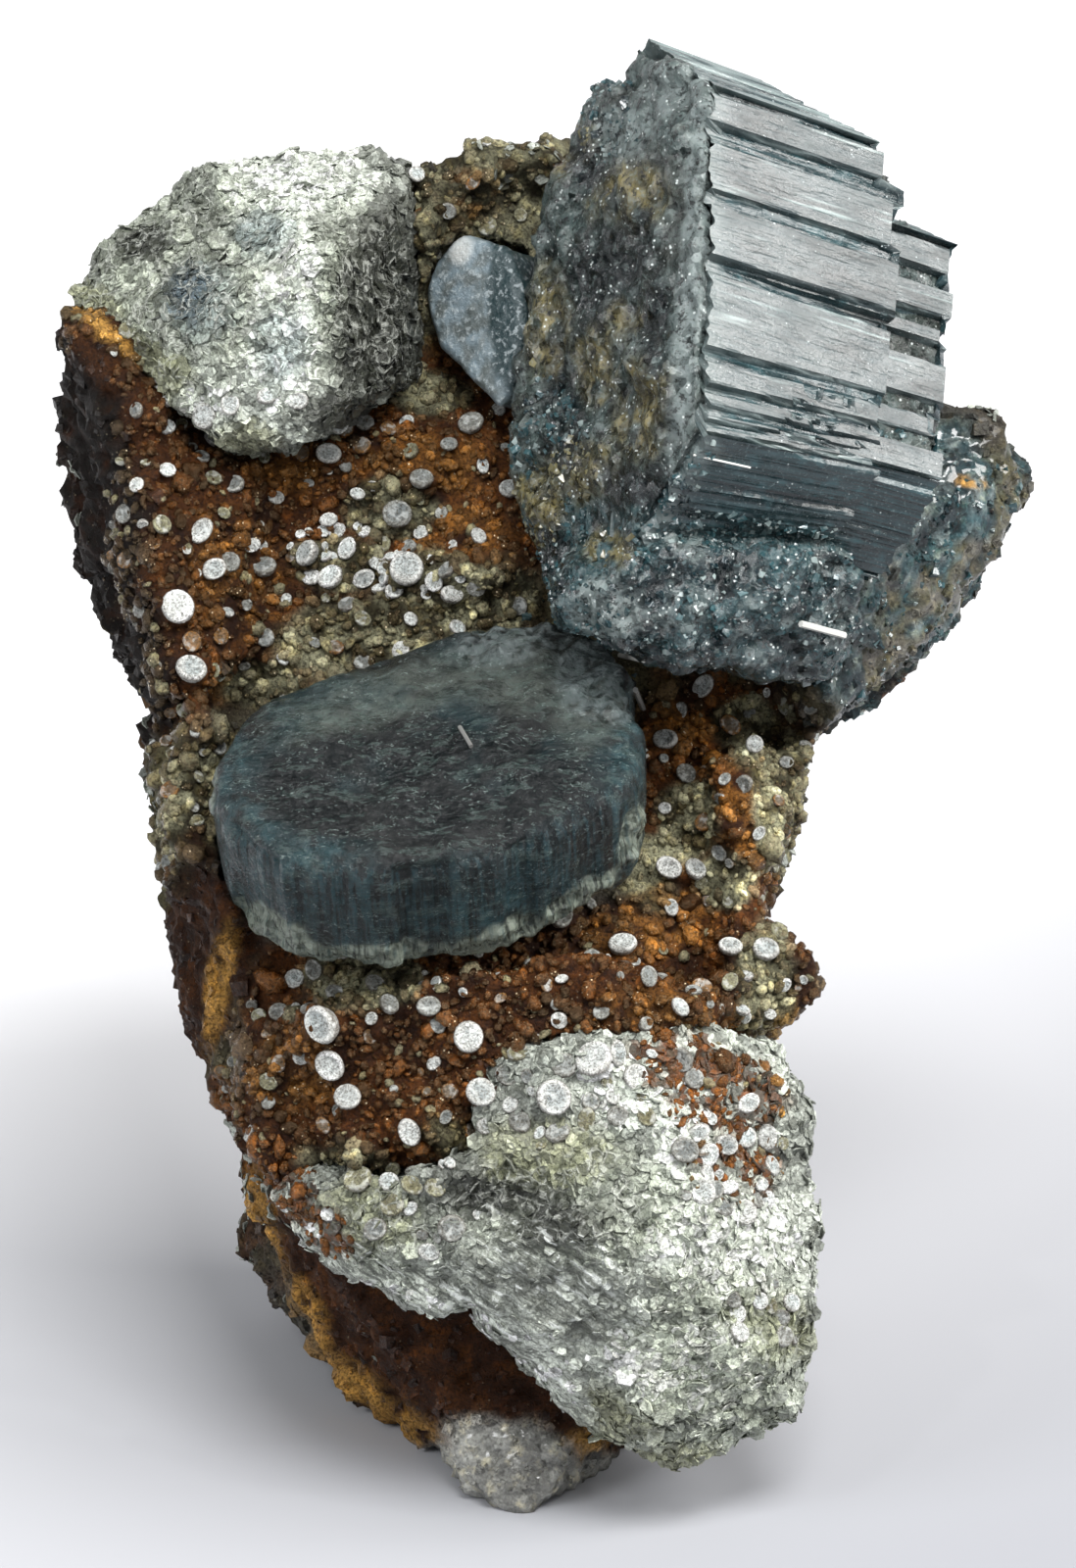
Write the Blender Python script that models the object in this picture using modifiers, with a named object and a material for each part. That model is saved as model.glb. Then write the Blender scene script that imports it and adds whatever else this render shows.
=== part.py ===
"""A fluorapatite specimen: stout blue hexagonal crystals seated in a rusty, mica-rich matrix.

The specimen is modelled in its own face frame: X to the right across the face, Y up the face and
Z out of the face towards the viewer. It is then stood up on a base that is broken flat, with the
face leaning back. Lengths are in metres.
"""

import math
import random

import bmesh
import bpy
from mathutils import Matrix, Vector

MM = 0.001

# How the specimen stands.
FACE_LEAN = math.radians(22)
BASE_BELOW_FACE_CENTRE = 0.0487
BASE_CENTRE = Vector((-0.0007, 0.0126, 0))
BASE_CUTTER = 0.2

# Clearance between pieces that touch, and how far a broken surface wanders.
SEAT_GAP = 0.0004
ROCK_VOXEL = 0.0010
# The rock keeps its detail in front of this depth, and is thinned out behind it.
BACK_STARTS = -0.015
FRONT_WEIGHT = 0.6

# The large crystal: a flattened hexagonal prism. Its long axis runs down to the right and away
# from the viewer, and its broad front face is turned up a little.
LARGE_END_CENTRE = Vector((0.0060, 0.0310, 0.0000))
LARGE_AXIS_DOWN = math.radians(14.5)
LARGE_AXIS_AWAY = math.radians(25)
LARGE_FACE_UP = math.radians(21)
LARGE_FRONT_WIDTH = 0.0233
LARGE_SIDE_WIDTH = 0.0099
LARGE_LENGTH = 0.0147
LARGE_TAPER = 0.88
LARGE_END_SLOPE = 0.077
COMPANION_FRONT_WIDTH = 0.0172
COMPANION_SIDE_WIDTH = 0.0086
COMPANION_LENGTH = 0.0194
COMPANION_DROP = 0.0017
# Grooves down its front face: how far down, as a share of the face, and how wide.
FRONT_GROOVES = (
    (0.11, 0.045), (0.30, 0.035), (0.495, 0.025), (0.75, 0.03), (0.855, 0.02), (0.92, 0.04),
)
GROOVE_DEPTH = 0.0006

# The middle crystal: a low barrel. The rim of its flat upper end, seen from the front, in
# millimetres, lies on a plane that slopes back.
MIDDLE_RIM = (
    (-21.1, 1.8), (-18.7, 5.3), (-11.8, 8.0), (-4.9, 10.2), (0.7, 11.1), (5.4, 8.8),
    (6.7, 4.4), (6.2, 0.6), (-1.8, -3.8), (-9.9, -5.3), (-17.2, -4.4), (-20.3, -1.6),
)
MIDDLE_CENTRE = Vector((-0.0070, 0.0025, 0.0010))
MIDDLE_AXIS = Vector((-0.05, 0.70, 0.71))
MIDDLE_LENGTH = 0.0100
MIDDLE_TAPER = 0.97

# The small crystal, half hidden between the upper mica and the large crystal.
SMALL_RIM = (
    (-5.1, 36.3), (-7.0, 34.4), (-7.6, 32.0), (-6.8, 29.0), (-4.1, 26.0), (-2.5, 24.4),
    (-1.2, 27.5), (-0.9, 31.5), (-2.0, 35.0),
)
SMALL_CENTRE = Vector((-0.0042, 0.0305, -0.0120))
SMALL_AXIS = Vector((-0.55, 0.10, 0.83))
SMALL_LENGTH = 0.0075
SMALL_TAPER = 0.95

# The large crystal's rough parts, as the corners of their hulls in millimetres: below it, behind
# the top of its corroded end, to the left of that end, and where the end meets the part below.
LARGE_ROUGH_LUMPS = (
    (
        (0.7, 13, 0), (0.2, 11.4, -1), (0.8, 10.2, 0), (3.2, 9.6, 3), (5.7, 7.9, 4),
        (8.8, 7.9, 3), (12, 8.4, 3), (14, 7.6, 1), (15.8, 6.4, -1), (18.8, 6, -3), (21, 10, -2),
        (21.5, 15, 2), (19.4, 15.9, 4), (12.6, 15.5, 6), (6, 15.5, 6), (1, 13, -12),
        (4, 10, -12), (19, 6.3, -12), (21, 15, -12),
    ),
    (
        (1.8, 44, -9), (3.6, 46.5, -9), (5, 46, -7), (3.4, 40, -5), (0.6, 40.7, -10),
        (0.8, 37, -10), (5, 43, -12), (4, 36, -4),
    ),
    (
        (0, 38.5, -9), (-1, 30, -8), (-1.8, 24, -8), (-1.6, 17, -7), (0.3, 12.5, -4), (5, 14, 3),
        (4, 38, -3), (1, 37, -14), (0, 17, -14), (5, 14, -12), (5, 36, -14),
    ),
    (
        (0.3, 13, -3), (4.5, 14, 4.5), (6, 17, 6), (9, 13, 4), (3, 10, 1), (1, 17, -8),
        (9, 17, -8), (9, 9, -8),
    ),
)

# The matrix is lofted through these stations up the face, in millimetres:
# height, left reach, right reach, front, back.
MATRIX_STATIONS = (
    (-26, -20, 15, -7, -38),
    (-18, -23, 16, -3, -38),
    (-11, -25, 16, -4, -37),
    (-3, -26, 17, -6, -36),
    (4, -27, 19, -9, -35),
    (12, -29, 21, -10, -34),
    (22, -30, 17, -11, -32),
    (30, -28, 13, -16, -30),
    (39, -16, 11, -18, -28),
)
STATION_POINTS = 16
STATION_SQUARENESS = 2.6

# Broken lumps that stand out of the loft, each the hull of its corners in millimetres.
MATRIX_LUMPS = {
    "foot": (
        (-20.5, -21, -12), (-21.5, -24, -28), (-18, -24, -40), (14, -24, -40), (16.5, -22, -13),
        (0, -22, -9), (-20.8, -31, -36), (-18.8, -35.2, -37), (-15.8, -38, -37),
        (-16, -33, -20), (-12.2, -41.8, -27), (-8.3, -44, -22.5), (-4.4, -47.4, -15),
        (-1, -49, -11), (2, -47.5, -14), (3.4, -45, -16), (10, -40.5, -29), (15, -38, -36),
        (15, -37, -43), (-12, -38, -43),
    ),
    "dark_flank": (
        (-31.6, 33.5, -12), (-31, 30, -8), (-32.4, 28, -18), (-31.6, 20, -20), (-30, 12, -22),
        (-26, 5, -20), (-27, 27, -6), (-25, 14, -4), (-23.5, 5, -4), (-18, 20, -9),
        (-18, 8, -8), (-22, 10, -28), (-30, 35, -19), (-26, 37, -24),
    ),
    "crown": (
        (-9, 41.5, -18), (-6, 42.5, -16), (-1, 43.5, -16), (4, 42.5, -18), (-9, 31, -13),
        (1, 33, -15), (-9, 39, -30), (4, 40, -30), (7, 28, -26), (-8, 28, -26),
    ),
    "right_shoulder": (
        (26.5, 25.2, -13), (30.2, 24.6, -15), (32.2, 22.6, -15), (33, 19.4, -16),
        (31.4, 15.6, -14), (28, 11.2, -13), (25, 8, -12), (21.6, 6, -11), (18.8, 3.4, -9),
        (16, 10, -4), (22, 14, -4), (26, 18, -7), (27, 24, -27), (32, 19, -25), (25, 8.6, -27),
        (17, 2, -28),
        (15, 20, -30),
    ),
    "left_lumps": (
        (-25, 3.5, -10), (-25.5, -5, -10), (-20.5, -10.5, -6), (-17, 2, -5), (-16, -8, -2),
        (-25.5, -8, -16), (-24.5, -12, -22), (-18, 0, -20), (-18, -14, -20),
    ),
    "belly": (
        (-20.5, -15.5, -6), (-21.3, -21, -8), (-19, -26, -8), (-12, -28, -4), (0, -21, 1.5),
        (9, -18, 2), (15, -12, -2), (-13, -12, 0.5), (0, -10, 2), (-15, -18, -20),
        (12, -18, -20), (-12, -28, -18),
    ),
    "right_flank": (
        (17.5, 2.5, -10), (18, -1, -12), (16, -6, -9), (10, 2, -6), (12, -8, -4), (17, -8, -22),
        (18, 2, -24), (10, 0, -20),
    ),
    "right_knob": (
        (15.5, -8, -7), (18.2, -11, -8), (18.8, -13.5, -8), (16.5, -17, -6), (11, -9, -4),
        (11, -16, -2), (14, -9, -20), (15, -16, -20),
    ),
}

# Round lumps on the rock, in millimetres: centre and radius.
MATRIX_BALLS = (
    (-22.6, 1, -5.5, 2.4), (-21, 4, -5.5, 2.0), (-22.8, -3, -4.5, 2.5), (-20, -6.3, -3, 2.3),
    (-20.6, -9.5, -3.5, 2.2), (-23.5, -6.5, -7, 2.2),
    (-7.6, 40, -14, 1.8), (-4, 41.5, -14, 2.0), (-0.5, 42, -14, 1.8), (-3.1, 40, -12.5, 1.6),
    (-7.5, 36, -12, 1.8), (-8, 33, -10.5, 1.7), (-6, 38, -13, 1.6), (2.5, 41, -13.5, 1.8),
    (1, 37, -12, 1.7),
    (-3, 13.4, -9, 2.2), (-5.5, 14, -9, 1.8),
    (-29, 30, -10, 1.6), (-27, 26.5, -8.5, 1.8), (-25, 23.5, -6.5, 1.8), (-24, 20, -6, 1.8),
    (-23.5, 16, -5.5, 1.8), (-23.5, 12, -5.5, 2.0), (-22.5, 8, -5.5, 1.8),
    (11, 5, -5, 1.6), (14, 3, -7, 1.8), (13, 0, -5, 1.5), (15, -3, -7, 1.8), (9, -2, -3, 1.5),
    (17, -11.5, -6.5, 1.6), (17.5, -14, -6.5, 1.4),
    (-19, -19, -4.5, 1.8), (-18, -23, -5, 1.7), (-15.5, -16.5, -1.5, 1.7), (-12, -24, -1.5, 1.6),
    (-7, -22, 0, 1.5), (5, -13, 1.5, 1.4), (10, -14, 1.5, 1.6),
)

# Mica rosettes: small discs on the rock. Their places as seen from a point in front of the
# face, and their radius, in millimetres.
VIEWPOINT = Vector((0, 0, 0.45))
ROSETTE_THICKNESS = 0.0008
ROSETTE_SIDES = 8
ROSETTES = (
    (-21.5, 16.1, 1.2), (-20.7, 13.8, 1.1), (-17.4, 13.8, 1.0), (-23, 11.3, 1.4),
    (-22.1, 7.3, 1.4), (-21.2, 23.4, 1.1), (-12.7, 23, 1.0), (-13.4, 21.1, 1.1),
    (-4.3, 22.9, 1.1), (-5.8, 21.6, 0.8), (-7.4, 19.4, 1.0), (-11.5, 18.4, 0.8),
    (-9, 17.2, 1.1), (-14.6, 14.7, 1.1), (-13.2, 13.1, 1.0), (-11.2, 15, 1.0),
    (-8.4, 13.6, 1.5), (-5.6, 12, 1.0), (-8.1, 10.5, 0.8), (-11.2, 10.5, 0.8),
    (-13.7, -15.3, 1.5), (-13.3, -17.9, 1.2), (-12.1, -20, 1.0), (-8.2, -22.2, 1.1),
    (-4.4, -16.1, 1.3), (-7, -14.2, 1.0), (-10.4, -12.8, 0.9), (-9.5, -14.9, 0.8),
    (-13.6, -21.8, 0.8), (-3.7, -19.7, 1.1), (-11.4, -25.3, 1.1), (3.6, -17.6, 1.4),
    (6.2, -18.8, 1.1), (1, -20, 1.3), (5.4, -10.3, 1.2), (7.1, -12.4, 0.9), (12.3, -10.4, 1.0),
    (14.5, -10.6, 1.0), (8.4, -5.3, 1.0), (10.1, -5.5, 1.0), (1.4, -8.4, 1.1),
    (8.2, 2.8, 1.1), (8.1, -1.6, 0.8), (10.6, 6.2, 1.1), (12.3, 3.8, 1.0), (12, -2.5, 0.9),
)
ROSETTE_FACING = Vector((0, 0.45, 0.9))

UPPER_MICA_LUMPS = {
    "fan": (
        (-22.8, 40.2, -14), (-20.5, 41.5, -14), (-14, 42, -15), (-10, 42, -15), (-8, 40, -14),
        (-7.6, 27, -11), (-12, 24, -7), (-16, 21.2, -5), (-20.5, 22, -5), (-25.5, 26, -8),
        (-28.8, 29.5, -10), (-31, 32.5, -13), (-29.5, 34, -14), (-25.6, 37.2, -15),
        (-14, 33, -1.5), (-19, 31, -3), (-12, 28, -4), (-24, 38, -24), (-9, 39, -26),
        (-9, 27, -24), (-20, 23, -20),
    ),
}

LOWER_MICA_LUMPS = {
    "lobe": (
        (-4.5, -17.5, 0), (1, -17, 1.5), (9, -15.3, 1), (15.8, -15.8, -4), (17.2, -19, -6),
        (18.4, -25, -7), (18.4, -37, -7), (17.3, -41, -9), (13, -42.8, -8), (9, -45.3, -7),
        (5.8, -43, -6), (-2, -35, -1), (-5, -31, 1), (3, -28, 4), (10, -27, 3), (12, -36, 0),
        (8, -40, -2), (-4, -20, -12), (15, -18, -14), (16, -38, -16), (8, -42, -13),
        (-4, -34, -12), (-3.5, -36, -7), (2.5, -41.5, -8),
    ),
    "arm": (
        (-18.4, -25.4, -6), (-17, -28.4, -6), (-13.6, -32.4, -5), (-6, -34.6, -2),
        (-4, -24, 2.5), (-11, -27.2, 0), (-16.5, -25.6, -3.5), (-16, -28, -10), (-6, -33, -11),
        (-4, -24, -8),
    ),
}


def clear_scene():
    for obj in list(bpy.data.objects):
        bpy.data.objects.remove(obj)


def new_collection(name, shown=True):
    collection = bpy.data.collections.new(name)
    bpy.context.scene.collection.children.link(collection)
    collection.hide_render = not shown
    return collection


def make_stand():
    """The empty that carries every piece: it stands the face up, leaning back, on z = 0."""
    stand = bpy.data.objects.new("stand", None)
    stand.rotation_euler.x = math.pi / 2 - FACE_LEAN
    stand.location = Vector((0, 0, BASE_BELOW_FACE_CENTRE)) - BASE_CENTRE
    bpy.context.scene.collection.objects.link(stand)
    return stand


def make_material(name, colour, roughness, metallic=0.0):
    material = bpy.data.materials.new(name)
    material.use_nodes = True
    shader = material.node_tree.nodes["Principled BSDF"]
    shader.inputs["Base Color"].default_value = (*colour, 1)
    shader.inputs["Roughness"].default_value = roughness
    shader.inputs["Metallic"].default_value = metallic
    return material


def add_piece(name, mesh, collection, material=None):
    obj = bpy.data.objects.new(name, mesh)
    obj.parent = STAND
    collection.objects.link(obj)
    if material:
        mesh.materials.clear()
        mesh.materials.append(material)
    return obj


def mesh_from(work, name):
    mesh = bpy.data.meshes.new(name)
    work.to_mesh(mesh)
    work.free()
    return mesh


def finished_mesh(obj):
    """The object's mesh with its modifiers applied. The object itself is removed."""
    graph = bpy.context.evaluated_depsgraph_get()
    mesh = bpy.data.meshes.new_from_object(obj.evaluated_get(graph))
    bpy.data.objects.remove(obj)
    return mesh


def add_lump(work, corners):
    """One broken lump: the convex hull of its corners."""
    points = [work.verts.new(Vector(corner) * MM) for corner in corners]
    hull = bmesh.ops.convex_hull(work, input=points)
    inside = [item for item in hull["geom_interior"] if isinstance(item, bmesh.types.BMVert)]
    bmesh.ops.delete(work, geom=inside, context="VERTS")


def add_loft(work, stations):
    """A closed body through rounded-square sections, one for each station."""
    rings = []
    for height, left, right, front, back in stations:
        ring = []
        for step in range(STATION_POINTS):
            turn = 2 * math.pi * step / STATION_POINTS
            power = 2 / STATION_SQUARENESS
            across = math.copysign(abs(math.cos(turn)) ** power, math.cos(turn))
            out = math.copysign(abs(math.sin(turn)) ** power, math.sin(turn))
            x = (left + right) / 2 + across * (right - left) / 2
            z = (front + back) / 2 + out * (front - back) / 2
            ring.append(work.verts.new(Vector((x, height, z)) * MM))
        rings.append(ring)
    for lower, upper in zip(rings, rings[1:]):
        for step in range(STATION_POINTS):
            after = (step + 1) % STATION_POINTS
            work.faces.new((lower[step], upper[step], upper[after], lower[after]))
    work.faces.new(rings[0])
    work.faces.new(reversed(rings[-1]))
    bmesh.ops.recalc_face_normals(work, faces=work.faces)


def add_remesh(obj, voxel):
    remesh = obj.modifiers.new("skin", "REMESH")
    remesh.mode = "VOXEL"
    remesh.voxel_size = voxel


def add_relief(obj, kind, size, strength):
    """Moves the surface in and out by a pattern whose features are about size across."""
    texture = bpy.data.textures.new(kind, kind)
    texture.noise_scale = size
    if kind == "VORONOI":
        texture.weight_1 = -1
        texture.weight_2 = 1
    relief = obj.modifiers.new("relief", "DISPLACE")
    relief.texture = texture
    relief.texture_coords = "LOCAL"
    relief.strength = strength
    relief.mid_level = 0.5 if kind == "CLOUDS" else 0.3


def thin_out(mesh, triangles):
    """Reduces the surface to about this many triangles, and its hidden back the most."""
    obj = add_piece("thinned", mesh, CUTTERS)
    hidden = obj.vertex_groups.new(name="hidden")
    for vert in mesh.vertices:
        hidden.add([vert.index], 1.0 if vert.co.z < BACK_STARTS else FRONT_WEIGHT, "REPLACE")
    mesh.calc_loop_triangles()
    fewer = obj.modifiers.new("fewer", "DECIMATE")
    fewer.ratio = min(1, triangles / len(mesh.loop_triangles))
    fewer.vertex_group = hidden.name
    fewer.vertex_group_factor = 1
    return finished_mesh(obj)


def add_ball(work, x, y, z, radius):
    place = Matrix.Translation(Vector((x, y, z)) * MM)
    bmesh.ops.create_icosphere(work, subdivisions=2, radius=radius * MM, matrix=place)


def add_rosettes(rocks):
    """Joins each rosette to the rock it is seen on, sunk into it and turned a little upwards."""
    pick = random.Random(12)
    discs = {name: bmesh.new() for name in rocks}
    carriers = {name: add_piece(name, mesh, CUTTERS) for name, mesh in rocks.items()}
    for x, y, radius in ROSETTES:
        way = (Vector((x, y, 0)) * MM - VIEWPOINT).normalized()
        hits = []
        for name, carrier in carriers.items():
            found, spot, normal, _ = carrier.ray_cast(VIEWPOINT, way)
            if found:
                hits.append(((spot - VIEWPOINT).length, name, spot, normal))
        _, name, spot, normal = min(hits)
        wobble = Vector([pick.uniform(-0.25, 0.25) for _ in range(3)])
        facing = (normal * 0.7 + ROSETTE_FACING + wobble).normalized()
        turn = facing.to_track_quat("Z", "X").to_matrix().to_4x4()
        bmesh.ops.create_cone(
            discs[name], cap_ends=True, segments=ROSETTE_SIDES, radius1=radius * MM,
            radius2=radius * MM * 0.9, depth=2 * ROSETTE_THICKNESS,
            matrix=Matrix.Translation(spot + facing * ROSETTE_THICKNESS * -0.2) @ turn,
        )
    grown = {}
    for name, carrier in carriers.items():
        disc_piece = add_piece("rosettes", mesh_from(discs[name], "rosettes"), CUTTERS)
        boolean(carrier, disc_piece, "UNION")
        grown[name] = finished_mesh(carrier)
        bpy.data.objects.remove(disc_piece)
    return grown


def break_rock(name, work, triangles, reliefs, voxel=ROCK_VOXEL):
    """Fuses the lumps in work into one broken rock and returns its mesh."""
    obj = add_piece(name, mesh_from(work, name), CUTTERS)
    add_remesh(obj, voxel)
    for kind, size, strength in reliefs:
        add_relief(obj, kind, size, strength)
    add_remesh(obj, voxel)
    return thin_out(finished_mesh(obj), triangles)


def large_frame():
    """The turn that lays the large crystal: X into its front face, Y up it, Z along it."""
    down, away = LARGE_AXIS_DOWN, LARGE_AXIS_AWAY
    along = Vector((
        math.cos(down) * math.cos(away), -math.sin(down) * math.cos(away), -math.sin(away),
    ))
    up = Matrix.Rotation(-LARGE_FACE_UP, 3, along) @ Vector((math.sin(down), math.cos(down), 0))
    turn = Matrix((up.cross(along), up, along)).transposed().to_4x4()
    return Matrix.Translation(LARGE_END_CENTRE) @ turn


def flat_hexagon(front_width, side_width):
    """The corners of a hexagon that is stretched along its front and back sides."""
    out = side_width * math.sin(math.radians(60))
    half = front_width / 2
    tip = half + side_width / 2
    return [Vector(corner) for corner in (
        (0, tip), (-out, half), (-out, -half), (0, -tip), (out, -half), (out, half),
    )]


def stepped_outline(corners, grooves, depth, seed):
    """The outline with grooves down its front side and random narrow steps down the others."""
    pick = random.Random(seed)
    outline = []
    for side, start in enumerate(corners):
        end = corners[(side + 1) % len(corners)]
        inward = -(start + end).normalized()
        if side == 1:
            cuts = grooves
        else:
            cuts = [((step + pick.uniform(0.3, 0.7)) / 2, 0.04) for step in range(2)]
        outline.append(start)
        for place, width in cuts:
            level = inward * depth * pick.uniform(0, 0.4)
            floor = inward * depth * pick.uniform(0.8, 1.2)
            outline.append(start.lerp(end, place) + level)
            outline.append(start.lerp(end, place + width / 4) + floor)
            outline.append(start.lerp(end, place + width) + floor)
            outline.append(start.lerp(end, place + width * 5 / 4))
    return outline


def add_prism(name, outline, near, far, taper, slope=0, drop=0):
    """A prism in the large crystal's frame. Its near end slopes by so much for each step up."""
    work = bmesh.new()
    outline = [Vector((point.x, point.y - drop)) for point in outline]
    verts = [work.verts.new((point.x, point.y, near - slope * point.y)) for point in outline]
    base = work.faces.new(verts)
    grown = bmesh.ops.extrude_face_region(work, geom=[base])
    for vert in grown["geom"]:
        if isinstance(vert, bmesh.types.BMVert):
            vert.co = (vert.co.x * taper, vert.co.y * taper, far)
    bmesh.ops.recalc_face_normals(work, faces=work.faces)
    work.transform(large_frame())
    return add_piece(name, mesh_from(work, name), CUTTERS)


def add_plate(name, rim, centre, axis, length, taper):
    """A crystal whose flat end has this rim, seen from the front, and faces along the axis."""
    axis = axis.normalized()
    work = bmesh.new()
    verts = []
    for x, y in rim:
        across = Vector((x * MM, y * MM, 0)) - Vector((centre.x, centre.y, 0))
        depth = centre.z - across.dot(axis) / axis.z
        verts.append(work.verts.new((x * MM, y * MM, depth)))
    end = work.faces.new(verts)
    grown = bmesh.ops.extrude_face_region(work, geom=[end])
    for vert in grown["geom"]:
        if isinstance(vert, bmesh.types.BMVert):
            vert.co = centre + (vert.co - centre) * taper - axis * length
    bmesh.ops.recalc_face_normals(work, faces=work.faces)
    return work


def boolean(obj, other, operation):
    cut = obj.modifiers.new(operation.lower(), "BOOLEAN")
    cut.operation = operation
    cut.object = other
    cut.use_self = True


def inflated(mesh):
    """A copy of a piece's mesh, grown by the seat gap on every side."""
    obj = add_piece("grown", mesh.copy(), CUTTERS)
    grow = obj.modifiers.new("grow", "DISPLACE")
    grow.strength = SEAT_GAP
    grow.mid_level = 0
    return finished_mesh(obj)


def cut_seats(obj, seats):
    """Cuts every seat out of the piece at once."""
    work = bmesh.new()
    for seat in seats:
        work.from_mesh(seat)
    cutter = add_piece("seats_in_" + obj.name, mesh_from(work, "seats"), CUTTERS)
    cutter.hide_render = True
    cutter.display_type = "WIRE"
    boolean(obj, cutter, "DIFFERENCE")
    return drop_chips(obj)


def make_large_rock():
    """The large crystal's corroded end, all lumps and pits, and the rough part below it."""
    work = bmesh.new()
    corners = flat_hexagon(LARGE_FRONT_WIDTH * 0.97, LARGE_SIDE_WIDTH * 0.97)
    for level, scale in ((-0.9, 0.90), (2.0, 1.0)):
        for corner in corners:
            place = corner * scale
            depth = level * MM - LARGE_END_SLOPE * place.y
            work.verts.new((place.x, place.y, depth))
    bmesh.ops.convex_hull(work, input=work.verts)
    work.transform(large_frame())
    for corners in LARGE_ROUGH_LUMPS:
        add_lump(work, corners)
    return break_rock(
        "large_rock", work, 800, (("CLOUDS", 0.004, 0.0012), ("VORONOI", 0.0028, 0.0016)), 0.0008,
    )


def make_large_prisms(gap=0):
    """The main prism and its shorter neighbour, or plain larger ones that cut their seat."""
    main = flat_hexagon(LARGE_FRONT_WIDTH + 1.2 * gap, LARGE_SIDE_WIDTH + 1.2 * gap)
    beyond = flat_hexagon(COMPANION_FRONT_WIDTH + 1.2 * gap, COMPANION_SIDE_WIDTH + 1.2 * gap)
    if not gap:
        main = stepped_outline(main, FRONT_GROOVES, GROOVE_DEPTH, 4)
        beyond = stepped_outline(beyond, FRONT_GROOVES[1:4], GROOVE_DEPTH * 1.4, 9)
    prism = add_prism(
        "large_prism", main, -gap, LARGE_LENGTH + gap, LARGE_TAPER, LARGE_END_SLOPE,
    )
    neighbour = add_prism(
        "large_neighbour", beyond, 0.003, COMPANION_LENGTH + gap, 0.96, drop=COMPANION_DROP,
    )
    return prism, neighbour


def make_large_apatite(rock):
    prism, neighbour = make_large_prisms()
    rough = add_piece("large_rough", rock.copy(), CUTTERS)
    for other in (neighbour, rough):
        boolean(prism, other, "UNION")
    mesh = finished_mesh(prism)
    for other in (neighbour, rough):
        bpy.data.objects.remove(other)
    return mesh


def make_middle_apatite():
    work = add_plate(
        "middle_apatite", MIDDLE_RIM, MIDDLE_CENTRE, MIDDLE_AXIS, MIDDLE_LENGTH, MIDDLE_TAPER,
    )
    bmesh.ops.bevel(
        work, geom=work.edges[:], offset=0.0016, segments=2, affect="EDGES", profile=0.6,
    )
    return mesh_from(work, "middle_apatite")


def make_small_apatite():
    work = add_plate(
        "small_apatite", SMALL_RIM, SMALL_CENTRE, SMALL_AXIS, SMALL_LENGTH, SMALL_TAPER,
    )
    bmesh.ops.bevel(work, geom=work.edges[:], offset=0.0004, segments=1, affect="EDGES")
    return mesh_from(work, "small_apatite")


def make_rocks():
    """The three rock masses, each as one fused mesh."""
    work = bmesh.new()
    add_loft(work, MATRIX_STATIONS)
    for corners in MATRIX_LUMPS.values():
        add_lump(work, corners)
    for ball in MATRIX_BALLS:
        add_ball(work, *ball)
    matrix = break_rock(
        "matrix", work, 2960,
        (("CLOUDS", 0.010, 0.0026), ("VORONOI", 0.005, 0.0026), ("VORONOI", 0.003, 0.0012)),
    )
    work = bmesh.new()
    for corners in UPPER_MICA_LUMPS.values():
        add_lump(work, corners)
    upper = break_rock(
        "upper_mica", work, 700, (("CLOUDS", 0.006, 0.0016), ("VORONOI", 0.0025, 0.0008)), 0.0008,
    )
    work = bmesh.new()
    for corners in LOWER_MICA_LUMPS.values():
        add_lump(work, corners)
    lower = break_rock(
        "lower_mica", work, 800, (("CLOUDS", 0.007, 0.0018), ("VORONOI", 0.003, 0.0008)), 0.0008,
    )
    grown = add_rosettes({"matrix": matrix, "lower_mica": lower})
    return grown["matrix"], upper, grown["lower_mica"]


def drop_chips(obj):
    """Applies the cuts and keeps the largest body, without the chips that they broke off."""
    name, collection, material = obj.name, obj.users_collection[0], obj.data.materials[0]
    work = bmesh.new()
    work.from_mesh(finished_mesh(obj))
    left = set(work.verts)
    bodies = []
    while left:
        body, edge = set(), [left.pop()]
        while edge:
            vert = edge.pop()
            body.add(vert)
            near = {line.other_vert(vert) for line in vert.link_edges} & left
            left -= near
            edge.extend(near)
        bodies.append(body)
    bodies.sort(key=len)
    for chip in bodies[:-1]:
        bmesh.ops.delete(work, geom=list(chip), context="VERTS")
    return add_piece(name, mesh_from(work, name), collection, material)


def make_base_cut():
    """A block with its top at the level the specimen stands on, in the face's own frame."""
    work = bmesh.new()
    bmesh.ops.create_cube(work, size=BASE_CUTTER)
    work.transform(STAND.matrix_basis.inverted() @ Matrix.Translation((0, 0, -BASE_CUTTER / 2)))
    return mesh_from(work, "base_cut")


clear_scene()
SPECIMEN = new_collection("fluorapatite")
CUTTERS = new_collection("cutters", shown=False)
STAND = make_stand()
APATITE = make_material("apatite", (0.16, 0.26, 0.32), 0.25)
MICA = make_material("muscovite", (0.55, 0.56, 0.52), 0.35)
ROCK = make_material("matrix", (0.28, 0.15, 0.08), 0.7)

rough_mesh = make_large_rock()
large_mesh = make_large_apatite(rough_mesh)
middle_mesh = make_middle_apatite()
small_mesh = make_small_apatite()
matrix_mesh, upper_mesh, lower_mesh = make_rocks()

large = add_piece("large_apatite", large_mesh, SPECIMEN, APATITE)
middle = add_piece("middle_apatite", middle_mesh, SPECIMEN, APATITE)
small = add_piece("small_apatite", small_mesh, SPECIMEN, APATITE)
matrix = add_piece("matrix", matrix_mesh, SPECIMEN, ROCK)
upper = add_piece("upper_mica", upper_mesh, SPECIMEN, MICA)
lower = add_piece("lower_mica", lower_mesh, SPECIMEN, MICA)

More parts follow.
